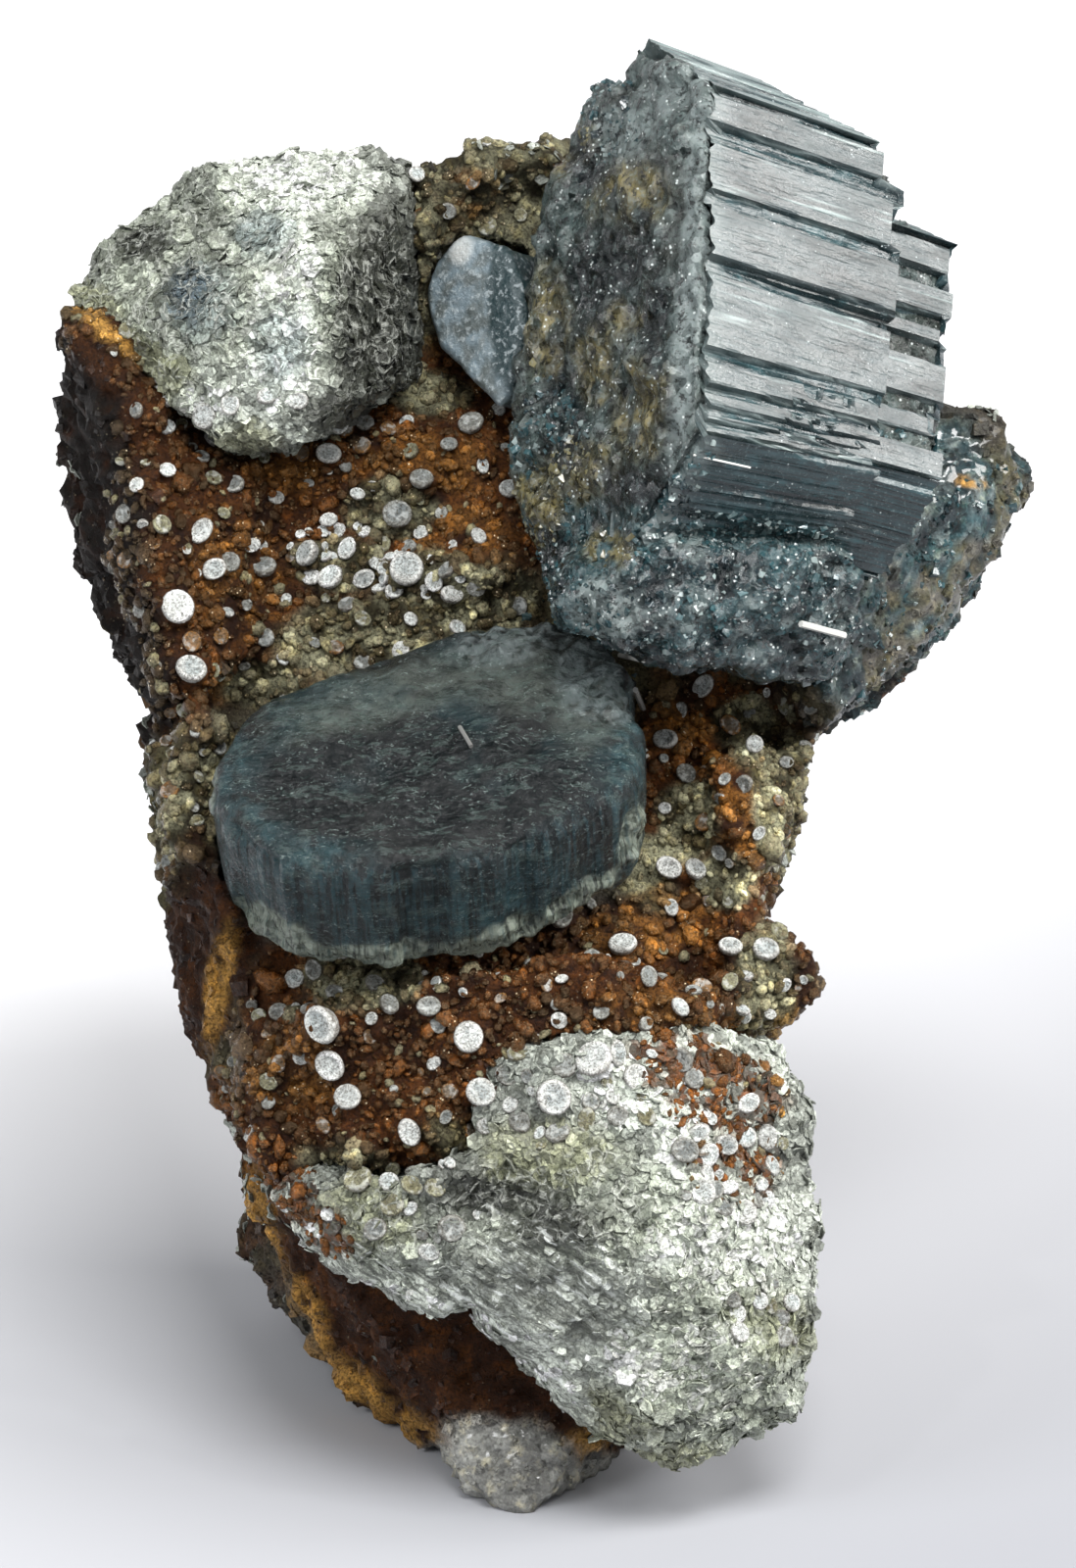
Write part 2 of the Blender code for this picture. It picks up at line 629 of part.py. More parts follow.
large_seats = [finished_mesh(prism) for prism in make_large_prisms(SEAT_GAP)]
large_seats.append(inflated(rough_mesh))
middle_seat = inflated(middle_mesh)
small_seat = inflated(small_mesh)
upper_seat = inflated(upper_mesh)
lower_seat = inflated(lower_mesh)

drop_chips(large)
cut_seats(middle, large_seats)
cut_seats(small, large_seats)
cut_seats(upper, [small_seat, *large_seats])
cut_seats(lower, [middle_seat])
cut_seats(
    matrix, [make_base_cut(), middle_seat, small_seat, upper_seat, lower_seat, *large_seats],
)
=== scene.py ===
"""A fluorapatite specimen: stout blue crystals in a rusty, mica-rich matrix, on a pale floor.

Every piece is finished in the specimen's face frame: X to the right across the face, Y up the
face and Z out of it towards the viewer, in millimetres. The room's frame is in metres.
"""

import itertools
import math

import bmesh
import bpy
import numpy as np
from mathutils import Matrix, Vector
from mathutils.bvhtree import BVHTree


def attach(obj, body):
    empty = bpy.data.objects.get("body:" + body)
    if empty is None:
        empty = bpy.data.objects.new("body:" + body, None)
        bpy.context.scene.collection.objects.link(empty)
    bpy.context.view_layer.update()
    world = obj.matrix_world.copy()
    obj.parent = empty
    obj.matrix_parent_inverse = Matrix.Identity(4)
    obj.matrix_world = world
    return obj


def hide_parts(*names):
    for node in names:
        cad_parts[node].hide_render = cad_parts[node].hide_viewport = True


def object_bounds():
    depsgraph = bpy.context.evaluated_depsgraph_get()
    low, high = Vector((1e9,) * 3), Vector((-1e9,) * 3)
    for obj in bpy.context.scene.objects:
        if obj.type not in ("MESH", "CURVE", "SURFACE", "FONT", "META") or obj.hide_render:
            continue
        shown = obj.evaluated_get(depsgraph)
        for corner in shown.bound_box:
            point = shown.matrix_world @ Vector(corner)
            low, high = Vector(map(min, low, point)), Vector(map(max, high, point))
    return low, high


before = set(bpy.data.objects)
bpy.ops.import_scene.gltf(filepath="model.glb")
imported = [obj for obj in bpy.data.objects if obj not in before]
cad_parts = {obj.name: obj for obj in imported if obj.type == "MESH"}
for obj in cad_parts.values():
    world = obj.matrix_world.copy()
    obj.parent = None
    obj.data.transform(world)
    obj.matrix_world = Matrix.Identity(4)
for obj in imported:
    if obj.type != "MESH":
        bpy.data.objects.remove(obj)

CAD_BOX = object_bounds()

bl_info = {
    "name": "Fluorapatite Specimen",
    "version": (1, 0, 0),
    "blender": (4, 5, 0),
    "location": "View3D > Sidebar > Specimen",
    "description": "Dresses a fluorapatite specimen with its crystals, mica and druse",
    "category": "Object",
}

MM = 0.001

# How the specimen stands: its face leans back, and the origin of the face frame is here.
FACE_LEAN = math.radians(22)
FACE_STAND = Matrix.Translation((0.0007, -0.0126, 0.0487)) @ Matrix.Rotation(
    math.pi / 2 - FACE_LEAN, 4, "X"
)
FACE_ORIGIN = np.array(FACE_STAND.translation)
FACE_TURN = np.array(FACE_STAND.to_3x3())

# The viewer's eye is on the face frame's Z axis. Places in the front view are given in
# sixteenths of a millimetre from the top left corner of the frame.
EYE = 450.0
VIEW_HEIGHT = 100.0
VIEW_CENTRE = (549.0, 800.0)
VIEW_UNITS = 16.0

# The large crystal in the face frame, as the solids have it.
LARGE_END = np.array((6.0, 31.0, 0.0))
LARGE_DOWN = math.radians(14.5)
LARGE_AWAY = math.radians(25)
LARGE_FACE_UP = math.radians(21)

# Turns each finer layer of noise another way, so that no grid shows.
NOISE_TURN = np.array(Matrix.Rotation(0.9, 3, Vector((0.5, 0.7, 0.3))))


# Working with meshes.

def to_face(points):
    return (points - FACE_ORIGIN) @ FACE_TURN / MM


def from_face(points):
    return points * MM @ FACE_TURN.T + FACE_ORIGIN


def seen_at(points):
    """Where points of the face frame show in the front view."""
    zoom = VIEW_UNITS * EYE / (EYE - points[:, 2])
    return np.stack((
        VIEW_CENTRE[0] + points[:, 0] * zoom, VIEW_CENTRE[1] - points[:, 1] * zoom,
    ), axis=1)


def unit(vectors):
    return vectors / np.maximum(np.linalg.norm(vectors, axis=-1, keepdims=True), 1e-12)


def clouds(points, size, seed=0, octaves=1):
    """Smooth noise from 0 to 1 at each point, with features about size across."""
    total = np.zeros(len(points))
    weight = 0
    for octave in range(octaves):
        share = 0.5 ** octave
        points = points @ NOISE_TURN
        place = points / (size * share) + 17.3 * seed + 5.1 * octave
        cell = np.floor(place)
        part = place - cell
        part = part * part * (3 - 2 * part)
        cell = cell.astype(np.int64)
        for corner in itertools.product((0, 1), repeat=3):
            at = cell + np.array(corner)
            mixed = at[:, 0] * 374761393 + at[:, 1] * 668265263 + at[:, 2] * 1274126177
            mixed = mixed + seed * 69069
            mixed = (mixed ^ (mixed >> 13)) * 1103515245
            value = ((mixed ^ (mixed >> 16)) & 0xFFFF) / 65535.0
            pull = np.where(np.array(corner) == 1, part, 1 - part).prod(axis=1)
            total += value * pull * share
        weight += share
    return total / weight


def ramp(value, low, high):
    """0 below low and 1 above high, with a smooth rise between."""
    part = np.clip((value - low) / (high - low), 0, 1)
    return part * part * (3 - 2 * part)


def blend(one, other, amount):
    amount = np.asarray(amount)
    if amount.ndim == 1:
        amount = amount[:, None]
    return np.asarray(one) * (1 - amount) + np.asarray(other) * amount


def within(seen, ovals, wander, soft=0.35):
    """1 well inside any of the ovals of the front view and 0 outside, with a ragged edge."""
    mask = np.zeros(len(seen))
    for x, y, across, down, turn in ovals:
        turn = math.radians(turn)
        side = seen - np.array((x, y))
        along = (side[:, 0] * math.cos(turn) + side[:, 1] * math.sin(turn)) / across
        beside = (side[:, 1] * math.cos(turn) - side[:, 0] * math.sin(turn)) / down
        reach = np.hypot(along, beside) + (wander - 0.5) * 0.7
        mask = np.maximum(mask, ramp(-reach, -1 - soft / 2, -1 + soft / 2))
    return mask


def only(obj):
    """Leaves this object alone selected and active."""
    bpy.ops.object.select_all(action="DESELECT")
    obj.select_set(True)
    bpy.context.view_layer.objects.active = obj


def apply(obj, kind, **settings):
    """Adds one modifier to the object and applies it."""
    only(obj)
    step = obj.modifiers.new(kind.lower(), kind)
    for key, value in settings.items():
        setattr(step, key, value)
    bpy.ops.object.modifier_apply(modifier=step.name)


def copy_of(node, name):
    """A closed copy of a node, in which the faces share their corners."""
    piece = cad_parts[node].copy()
    piece.data = piece.data.copy()
    piece.name = name
    for key in list(piece.keys()):
        del piece[key]
    piece.parent = None
    bpy.context.scene.collection.objects.link(piece)
    piece.data.materials.clear()
    for attribute in list(piece.data.color_attributes):
        piece.data.color_attributes.remove(attribute)
    only(piece)
    bpy.ops.object.mode_set(mode="EDIT")
    bpy.ops.mesh.select_all(action="SELECT")
    bpy.ops.mesh.remove_doubles(threshold=1e-6)
    bpy.ops.object.mode_set(mode="OBJECT")
    return piece


def relief(obj, kind, size, strength, mask=None):
    """Moves the surface by a pattern with features about size across, in millimetres."""
    texture = bpy.data.textures.new("relief", kind)
    texture.noise_scale = size * MM
    middle = 0.42
    if kind == "CLOUDS":
        texture.noise_depth = 2
    if kind == "VORONOI":
        texture.weight_1 = -1
        texture.weight_2 = 1
        middle = 0.25
    settings = {}
    if mask is not None:
        group = obj.vertex_groups.new(name="relief")
        levels = np.round(np.clip(mask, 0, 1) * 20).astype(int)
        for level in range(1, 21):
            chosen = np.nonzero(levels == level)[0]
            if len(chosen):
                group.add(chosen.tolist(), level / 20, "REPLACE")
        settings["vertex_group"] = group.name
    apply(
        obj, "DISPLACE", texture=texture, texture_coords="LOCAL", strength=strength * MM,
        mid_level=middle, **settings,
    )
    obj.vertex_groups.clear()


def points_of(obj):
    """The mesh's corners in the face frame, in millimetres."""
    points = np.empty(len(obj.data.vertices) * 3)
    obj.data.vertices.foreach_get("co", points)
    return to_face(points.reshape(-1, 3))


def normals_of(obj):
    normals = np.empty(len(obj.data.vertices) * 3)
    obj.data.vertices.foreach_get("normal", normals)
    return normals.reshape(-1, 3) @ FACE_TURN


def move_to(obj, points):
    obj.data.vertices.foreach_set("co", from_face(points).ravel())
    obj.data.update()


def paint(obj, name, values, gloss=0.0):
    """Stores one colour for each corner of the mesh, with its gloss as the fourth value."""
    colours = np.ones((len(obj.data.vertices), 4), np.float32)
    colours[:, :3] = np.asarray(values).reshape(len(colours), -1)
    colours[:, 3] = gloss
    layer = obj.data.attributes.new(name, "FLOAT_COLOR", "POINT")
    layer.data.foreach_set("color", colours.ravel())


def shade(obj, smooth=True):
    obj.data.shade_smooth() if smooth else obj.data.shade_flat()


def dress(obj, material):
    """Gives a finished piece its material and its body."""
    obj.data.materials.clear()
    obj.data.materials.append(material)
    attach(obj, "root")


def mesh_of(name, points, faces):
    """A piece from corners in the face frame and triangles or squares between them."""
    mesh = bpy.data.meshes.new(name)
    count, sides = faces.shape
    mesh.vertices.add(len(points))
    mesh.vertices.foreach_set("co", from_face(points).ravel())
    mesh.loops.add(count * sides)
    mesh.loops.foreach_set("vertex_index", faces.ravel().astype(np.int32))
    mesh.polygons.add(count)
    mesh.polygons.foreach_set("loop_start", np.arange(0, count * sides, sides, dtype=np.int32))
    mesh.update(calc_edges=True)
    mesh.validate()
    obj = bpy.data.objects.new(name, mesh)
    bpy.context.scene.collection.objects.link(obj)
    return obj


def pattern_from(obj):
    """Reads a small model as corners and triangles, and removes it."""
    only(obj)
    bpy.ops.object.mode_set(mode="EDIT")
    bpy.ops.mesh.select_all(action="SELECT")
    bpy.ops.mesh.quads_convert_to_tris()
    bpy.ops.object.mode_set(mode="OBJECT")
    mesh = obj.data
    corners = np.array([corner.co[:] for corner in mesh.vertices])
    faces = np.array([face.vertices[:] for face in mesh.polygons])
    bpy.data.objects.remove(obj)
    return corners, faces


def copies(name, pattern, spots, turns, tints=None):
    """Many copies of one small model as one mesh. Tints are one for each copy or corner."""
    corners, faces = pattern
    count = len(spots)
    points = np.einsum("nij,vj->nvi", turns, corners) + spots[:, None, :]
    shifts = np.arange(count)[:, None, None] * len(corners)
    obj = mesh_of(name, points.reshape(-1, 3), (faces[None] + shifts).reshape(-1, 3))
    if tints is None:
        return obj
    tints = np.asarray(tints)
    if tints.ndim == 2:
        tints = np.repeat(tints[:, None, :], len(corners), axis=1)
    paint(obj, "tint", tints.reshape(-1, 3))
    return obj


def turned_to(normals, scales, pick):
    """For each normal a turn and size that lays a small model's Z axis along it."""
    spin = unit(pick.normal(size=normals.shape))
    across = unit(np.cross(normals, spin))
    beside = np.cross(normals, across)
    turns = np.stack((across, beside, normals), axis=2)
    return turns * np.asarray(scales)[:, None, :]


def spread(obj, count, pick, wanted):
    """Random places on a piece, where wanted(points, normals) is high, with their normals."""
    points = points_of(obj)
    obj.data.calc_loop_triangles()
    tris = np.empty(len(obj.data.loop_triangles) * 3, np.int32)
    obj.data.loop_triangles.foreach_get("vertices", tris)
    a, b, c = (points[side] for side in tris.reshape(-1, 3).T)
    normals = np.cross(b - a, c - a)
    areas = np.linalg.norm(normals, axis=1)
    normals = unit(normals)
    chance = areas * np.clip(wanted((a + b + c) / 3, normals), 0, None)
    chosen = pick.choice(len(chance), size=count, p=chance / chance.sum())
    u, v = pick.random((2, count, 1))
    folded = u + v > 1
    u, v = np.where(folded, 1 - u, u), np.where(folded, 1 - v, v)
    places = a[chosen] + (b - a)[chosen] * u + (c - a)[chosen] * v
    return places, normals[chosen]


def thinned(places, gap):
    """Which of the places to keep so that no two lie closer than their gaps allow."""
    kept, grid = [], {}
    for index, (place, room) in enumerate(zip(places, gap)):
        cell = tuple(np.floor(place / 2.0).astype(int))
        near = (
            other for step in itertools.product((-1, 0, 1), repeat=3)
            for other in grid.get(tuple(np.add(cell, step)), ())
        )
        if all(np.linalg.norm(places[other] - place) > (room + gap[other]) / 2 for other in near):
            grid.setdefault(cell, []).append(index)
            kept.append(index)
    return np.array(kept)


# Materials.

class Level:
    """A number that varies over a surface. Arithmetic on it adds the maths nodes."""

    def __init__(self, finish, socket):
        self.finish = finish
        self.socket = socket

    def maths(self, operation, *values):
        node = self.finish.add("ShaderNodeMath", {"operation": operation}, dict(enumerate(values)))
        return Level(self.finish, node.outputs[0])

    def __add__(self, other):
        return self.maths("ADD", self, other)

    def __sub__(self, other):
        return self.maths("SUBTRACT", self, other)

    def __mul__(self, other):
        return self.maths("MULTIPLY", self, other)

    def __rsub__(self, other):
        return self.maths("SUBTRACT", other, self)

    def __pow__(self, other):
        return self.maths("POWER", self, other)

    __radd__ = __add__
    __rmul__ = __mul__

    def rise(self, low, high):
        """0 below low and 1 above high, with a smooth rise between."""
        node = self.finish.add(
            "ShaderNodeMapRange", {"interpolation_type": "SMOOTHSTEP"},
            {"Value": self, "From Min": low, "From Max": high},
        )
        return Level(self.finish, node.outputs["Result"])


class Finish:
    """One material, with its patterns in millimetres of the room's frame."""

    def __init__(self, name):
        self.material = bpy.data.materials.new(name)
        self.material.use_nodes = True
        self.tree = self.material.node_tree
        self.shader = self.tree.nodes["Principled BSDF"]
        place = self.add("ShaderNodeTexCoord", {}, {}).outputs["Object"]
        self.place = self.vector("SCALE", place, Scale=1 / MM)

    def add(self, kind, settings, values):
        """Adds a node, makes its settings, and then fills or links its sockets."""
        node = self.tree.nodes.new(kind)
        for key, value in settings.items():
            setattr(node, key, value)
        for key, value in values.items():
            self.feed(node.inputs[key], value)
        return node

    def feed(self, socket, value):
        if isinstance(value, Level):
            self.tree.links.new(value.socket, socket)
        elif isinstance(value, bpy.types.NodeSocket):
            self.tree.links.new(value, socket)
        elif socket.type == "RGBA":
            socket.default_value = (*value, 1)
        else:
            socket.default_value = value

    def set(self, **values):
        """Fills or links the shader's own sockets, named with underscores."""
        for key, value in values.items():
            self.feed(self.shader.inputs[key.replace("_", " ")], value)

    def vector(self, operation, *values, **named):
        sockets = {**dict(enumerate(values)), **named}
        return self.add("ShaderNodeVectorMath", {"operation": operation}, sockets).outputs[0]

    def mix(self, amount, one, other, kind="MIX"):
        node = self.add("ShaderNodeMix", {"data_type": "RGBA", "blend_type": kind}, {})
        self.feed(node.inputs["Factor"], amount)
        self.feed(node.inputs[6], one)
        self.feed(node.inputs[7], other)
        return node.outputs[2]

    def shade_of(self, size, place=None):
        """One random number for each cell."""
        node = self.add("ShaderNodeSeparateColor", {}, {"Color": self.cells(size, place)[1]})
        return Level(self, node.outputs[0])

    def attribute(self, name):
        return self.add("ShaderNodeAttribute", {"attribute_name": name}, {})

    def noise(self, size, detail=2, place=None, rough=0.5):
        node = self.add("ShaderNodeTexNoise", {}, {
            "Vector": place or self.place, "Scale": 1 / size, "Detail": detail,
            "Roughness": rough,
        })
        return Level(self, node.outputs[0])

    def cells(self, size, place=None):
        """A pattern of cells: the distance within each, and one random colour for each."""
        values = {"Vector": place or self.place, "Scale": 1 / size}
        node = self.add("ShaderNodeTexVoronoi", {}, values)
        return Level(self, node.outputs["Distance"]), node.outputs["Color"]

    def gaps(self, size, place=None):
        """1 in the narrow gaps between cells and 0 inside them."""
        node = self.add(
            "ShaderNodeTexVoronoi", {"feature": "DISTANCE_TO_EDGE"},
            {"Vector": place or self.place, "Scale": 1 / size},
        )
        return Level(self, node.outputs["Distance"]).rise(0.16, 0.0)

    def bump(self, height, depth, under=None):
        """A normal from a height pattern whose full range is depth millimetres."""
        values = {"Height": height, "Distance": depth * MM, "Strength": 1.0}
        if under is not None:
            values["Normal"] = under
        return self.add("ShaderNodeBump", {}, values).outputs[0]

    def facets(self, size, tilt, under=None, place=None):
        """A normal that leans its own way in each small cell, so that the cells glitter."""
        if under is None:
            under = self.add("ShaderNodeNewGeometry", {}, {}).outputs["Normal"]
        lean = self.vector("SUBTRACT", self.cells(size, place)[1], (0.5, 0.5, 0.5))
        lean = self.vector("SCALE", lean, Scale=tilt * 2)
        return self.vector("NORMALIZE", self.vector("ADD", under, lean))


# The user's sizes and colours.

def colour_choice(name, text, default):
    return bpy.props.FloatVectorProperty(
        name=name, description=text, default=default, min=0, max=1, subtype="COLOR",
    )


def length_choice(name, text, default):
    return bpy.props.FloatProperty(
        name=name, description=text, default=default * MM, min=0.0001, unit="LENGTH",
    )


class SpecimenColours(bpy.types.PropertyGroup):
    """The colours of the specimen's minerals."""

    rust_dark: colour_choice("Dark rust", "Hollows of the druse", (0.030, 0.010, 0.003))
    rust: colour_choice("Rust", "Most of the druse", (0.115, 0.038, 0.007))
    rust_bright: colour_choice("Bright rust", "Orange crests of the druse", (0.31, 0.14, 0.03))
    ochre: colour_choice("Ochre", "Stains on the rock's edges", (0.46, 0.25, 0.06))
    olive: colour_choice("Olive", "Olive lumps", (0.1, 0.09, 0.045))
    olive_pale: colour_choice("Pale olive", "Tops of the olive lumps", (0.24, 0.235, 0.15))
    # Near-black of the dark flank: partly its own dark rock, partly painted shade.
    coal: colour_choice("Coal", "The dark flank", (0.006, 0.005, 0.004))
    stone: colour_choice("Stone", "Grey-brown rock of the shoulder", (0.11, 0.1, 0.08))
    quartz: colour_choice("Quartz", "Pale grey rock of the foot", (0.26, 0.26, 0.235))
    silver: colour_choice("Silver", "Mica scales", (0.62, 0.66, 0.58))
    silver_dark: colour_choice("Dark silver", "Between the mica scales", (0.07, 0.07, 0.06))
    pearl: colour_choice("Pearl", "Rims of the rosettes", (0.72, 0.72, 0.68))
    slate: colour_choice("Slate", "Hearts of the rosettes", (0.16, 0.18, 0.18))
    deep: colour_choice("Deep blue", "Depth of the crystals", (0.002, 0.0055, 0.007))
    teal: colour_choice("Teal", "Sides of the crystals", (0.011, 0.030, 0.034))
    steel: colour_choice("Steel", "Bright plates of the large crystal", (0.13, 0.155, 0.155))
    ice: colour_choice("Ice", "Pale translucent rims", (0.14, 0.17, 0.165))


class SpecimenSizes(bpy.types.PropertyGroup):
    """The sizes of the specimen's fine parts."""

    rock_grain: length_choice("Rock grain", "Finest relief of the rock", 0.45)
    bead: length_choice("Bead", "Mean radius of a bead of the druse", 0.39)
    scale: length_choice("Scale", "Mean radius of a mica scale", 0.33)
    beads: bpy.props.IntProperty(
        name="Beads", description="How many beads the druse is given", default=11000, min=1,
    )
    scales: bpy.props.IntProperty(
        name="Scales", description="How many scales each mica mass is given", default=8000, min=1,
    )


def colours():
    group = bpy.context.scene.specimen_colours
    return {name: np.array(getattr(group, name)) for name in group.__annotations__}


def sizes():
    return bpy.context.scene.specimen_sizes


# The rock's regions in the front view: centre, half widths and turn.
RUST = (
    (330, 520, 230, 190, 10), (250, 470, 140, 120, 30), (180, 600, 60, 160, 8),
    (430, 440, 130, 90, 0), (740, 800, 110, 130, 0), (560, 1040, 330, 120, 0),
    (760, 960, 90, 110, 0), (330, 1150, 120, 120, 20),
)
BRIGHT_RUST = (
    (300, 470, 60, 30, 20), (230, 590, 60, 60, 0), (470, 370, 40, 30, 0), (440, 470, 70, 30, 0),
    (470, 545, 50, 25, 0), (700, 740, 60, 30, 0), (750, 850, 40, 60, 0), (640, 950, 80, 25, 0),
    (700, 1030, 90, 25, 0), (300, 1090, 60, 40, 0), (480, 200, 34, 30, 0), (250, 700, 60, 20, 0),
    (340, 1250, 60, 20, 40), (730, 780, 46, 60, 0), (700, 900, 50, 40, 0),
)
# The dark flank, painted near-black: partly the rock's own dark brown-black, partly painted shade, as the flank
# faces away from the light.
DARK_SHADED_FLANK = (
    (105, 480, 62, 190, 4), (140, 690, 40, 90, 0), (80, 380, 40, 60, 0),
)
CROWN = ((510, 200, 100, 80, 0), (440, 270, 40, 70, 0))
OLIVE = (
    (420, 635, 130, 48, -14), (500, 595, 46, 22, 8), (205, 850, 50, 110, 0), (390, 520, 50, 30, 0),
    (440, 400, 40, 24, 0), (800, 820, 30, 90, 0), (650, 880, 40, 30, 0), (780, 1000, 30, 60, 0),
    (370, 1000, 60, 30, 0), (360, 1210, 60, 40, 30), (270, 700, 40, 22, 0), (350, 575, 50, 30, 10),
    (440, 592, 46, 26, 0), (765, 745, 34, 34, 0), (700, 835, 30, 44, 0), (740, 900, 30, 30, 0),
)
SHOULDER = ((930, 590, 150, 170, 0),)
# The right flank, which lies in the large crystal's shade; its colour is lifted there as painted light.
RIGHT_FLANK = ((735, 825, 64, 130, 0),)
OCHRE = (
    (992, 492, 14, 5, 12), (258, 1262, 24, 64, -8), (296, 1345, 28, 64, -32), (356, 1422, 66, 26, 42),
    (430, 1478, 54, 24, 42), (590, 1480, 30, 18, -30), (800, 1120, 20, 70, 0),
    (82, 302, 18, 16, 0), (225, 1000, 12, 60, 10), (104, 334, 44, 7, 42),
)
BACK_FLANK = ((200, 980, 60, 130, 15),)
BACK_SLAB = ((430, 1370, 240, 130, 33),)
BARE = ((80, 500, 36, 190, 4), (120, 700, 30, 90, 0)) + BACK_SLAB + BACK_FLANK
FOOT = ((525, 1512, 115, 56, 8),)
RIDGE = ((160, 470, 26, 110, -12), (190, 640, 22, 120, -6), (110, 360, 30, 60, -40))


def broken_tint(points, seed):
    """Broken apatite: teal and grey patches with pale flecks and dark pits."""
    shown = colours()
    coarse, patch = clouds(points, 2.6, seed, 3), clouds(points, 1.2, seed + 1, 2)
    fine = clouds(points, 0.55, seed + 2, 2)
    tint = blend(shown["deep"] * 2.5, shown["teal"] * 1.8, ramp(coarse, 0.3, 0.62))
    tint = blend(tint, shown["ice"], ramp(patch, 0.45, 0.75) * ramp(fine, 0.35, 0.65))
    return blend(tint, shown["deep"], ramp(-patch, -0.42, -0.28) * 0.9)


def rock_tint(points):
    """The rock's colour at points of the face frame, with painted shade on the dark flank and painted light on the
    right flank.
    """
    shown = colours()
    seen = seen_at(points)
    coarse = clouds(points, 4.0, 1, 2)
    fine = clouds(points, 1.1, 2, 2)
    edge = clouds(points, 2.4, 3, 2)
    tint = blend(shown["stone"] * 0.55, shown["olive"], ramp(coarse, 0.3, 0.7))
    rust = blend(shown["rust_dark"], shown["rust"], ramp(fine * 0.6 + coarse * 0.4, 0.32, 0.62))
    tint = blend(tint, rust * 0.75, within(seen, RUST, edge))
    bright = within(seen, BRIGHT_RUST, edge, 0.7) * ramp(fine, 0.35, 0.65)
    tint = blend(tint, shown["rust_bright"] * 0.85, bright * 0.5)
    olive = blend(shown["olive"] * 0.35, shown["olive_pale"] * 1.35, ramp(fine, 0.3, 0.75))
    tint = blend(tint, olive, within(seen, OLIVE, edge))
    tint = blend(tint, olive * 0.9, within(seen, CROWN, edge) * (1 - bright))
    # Painted light: the right flank's colour is lifted by 60 % against the large crystal's shade.
    tint = tint * (1 + 0.6 * within(seen, RIGHT_FLANK, edge))[:, None]
    # Painted shade on the dark flank: near-black over the rock's own dark brown.
    coal = blend(shown["coal"], shown["rust_dark"] * 0.7, ramp(fine, 0.5, 0.8))
    tint = blend(tint, coal, within(seen, DARK_SHADED_FLANK, edge))
    tint = blend(tint, rust * 0.5, within(seen, RIDGE, edge) * 0.8)
    broken = broken_tint(points, 24) * 1.5
    stain = ramp(coarse, 0.46, 0.6) * ramp(fine, 0.3, 0.5)
    broken = blend(broken, blend(shown["olive"], shown["stone"] * 1.6, ramp(fine, 0.5, 0.7)), stain * 0.85)
    tint = blend(tint, broken, within(seen, SHOULDER, edge))
    slab = blend(shown["rust_dark"], shown["rust"] * 0.6, ramp(fine, 0.4, 0.7))
    tint = blend(tint, slab * 0.8, within(seen, BACK_FLANK, edge))
    tint = blend(tint, slab, within(seen, BACK_SLAB, edge))
    tint = blend(tint, shown["ochre"], within(seen, OCHRE, edge, 0.9) * ramp(fine, 0.2, 0.42))
    foot = blend(shown["quartz"] * 0.7, shown["quartz"] * 1.7, ramp(coarse * 0.5 + fine * 0.5, 0.3, 0.6))
    tint = blend(tint, foot, within(seen, FOOT, edge))
    behind = ramp(-points[:, 2] + (edge - 0.5) * 8, 21, 27)
    wide, patch = clouds(points, 9.0, 9, 4), clouds(points, 4.0, 10, 4)
    back = blend(shown["stone"] * 0.45, shown["stone"] * 1.1, ramp(patch, 0.35, 0.65))
    back = blend(back, shown["olive"] * 0.8, ramp(-patch, -0.5, -0.35) * 0.6)
    stain = blend(shown["rust_dark"] * 1.5, shown["rust"] * 1.1, ramp(fine, 0.4, 0.7))
    back = blend(back, stain, ramp(wide, 0.44, 0.58) * 0.85)
    back = blend(back, shown["ochre"] * 0.5, ramp(wide, 0.56, 0.62) * ramp(fine, 0.45, 0.6) * 0.6)
    return blend(tint, back, behind)


# The large crystal's own frame: X into it from its front face, Y up the face, Z along it.

def large_frame():
    along = Vector((
        math.cos(LARGE_DOWN) * math.cos(LARGE_AWAY),
        -math.sin(LARGE_DOWN) * math.cos(LARGE_AWAY), -math.sin(LARGE_AWAY),
    ))
    up = Matrix.Rotation(-LARGE_FACE_UP, 3, along) @ Vector((
        math.sin(LARGE_DOWN), math.cos(LARGE_DOWN), 0,
    ))
    return np.array(Matrix((up.cross(along), up, along)).transposed())


LARGE_TURN = large_frame()
LARGE_FRONT = 23.3
LARGE_SIDE = 9.9
LARGE_LENGTH = 14.7
LARGE_TAPER = 0.88
LARGE_TOP_TAPER = 0.975
LARGE_END_SLOPE = 0.077
LARGE_CREST = 1.3
NEIGHBOUR_FRONT = 17.2
NEIGHBOUR_SIDE = 8.6
NEIGHBOUR_LENGTH = 19.4
NEIGHBOUR_DROP = 1.7
# The plates of the front face: where each begins and ends, as a share of the way down the
# face, how deep it lies in millimetres, and how far short of the end it stops.
PLATES = (
    (0.020, 0.106, 0.00, 2.0), (0.162, 0.296, 0.10, 1.0), (0.340, 0.488, 0.02, 0.3),
    (0.530, 0.742, 0.14, 0.0), (0.782, 0.846, 0.05, 0.5), (0.870, 0.905, 0.12, 0.2),
    (0.930, 0.945, 0.20, 1.5), (0.965, 0.985, 0.15, 3.0),
)
GROOVE_DEPTH = 0.62
NEIGHBOUR_PLATES = (
    (0.02, 0.13, 0.1, 0.6), (0.19, 0.30, 0.3, 0.0), (0.36, 0.42, 0.1, 0.9),
    (0.50, 0.66, 0.2, 0.2), (0.72, 0.80, 0.4, 0.7), (0.86, 0.97, 0.1, 0.0),
)
# Etched pits on the front face: how far down, how far along in millimetres, and radius.
ETCH_PITS = (
    (0.80, 9.3, 0.8), (0.77, 10.6, 0.7), (0.865, 8.4, 0.7), (0.91, 10.2, 0.9), (0.86, 10.9, 0.5),
    (0.93, 7.6, 0.6), (0.80, 12.0, 0.5),
)


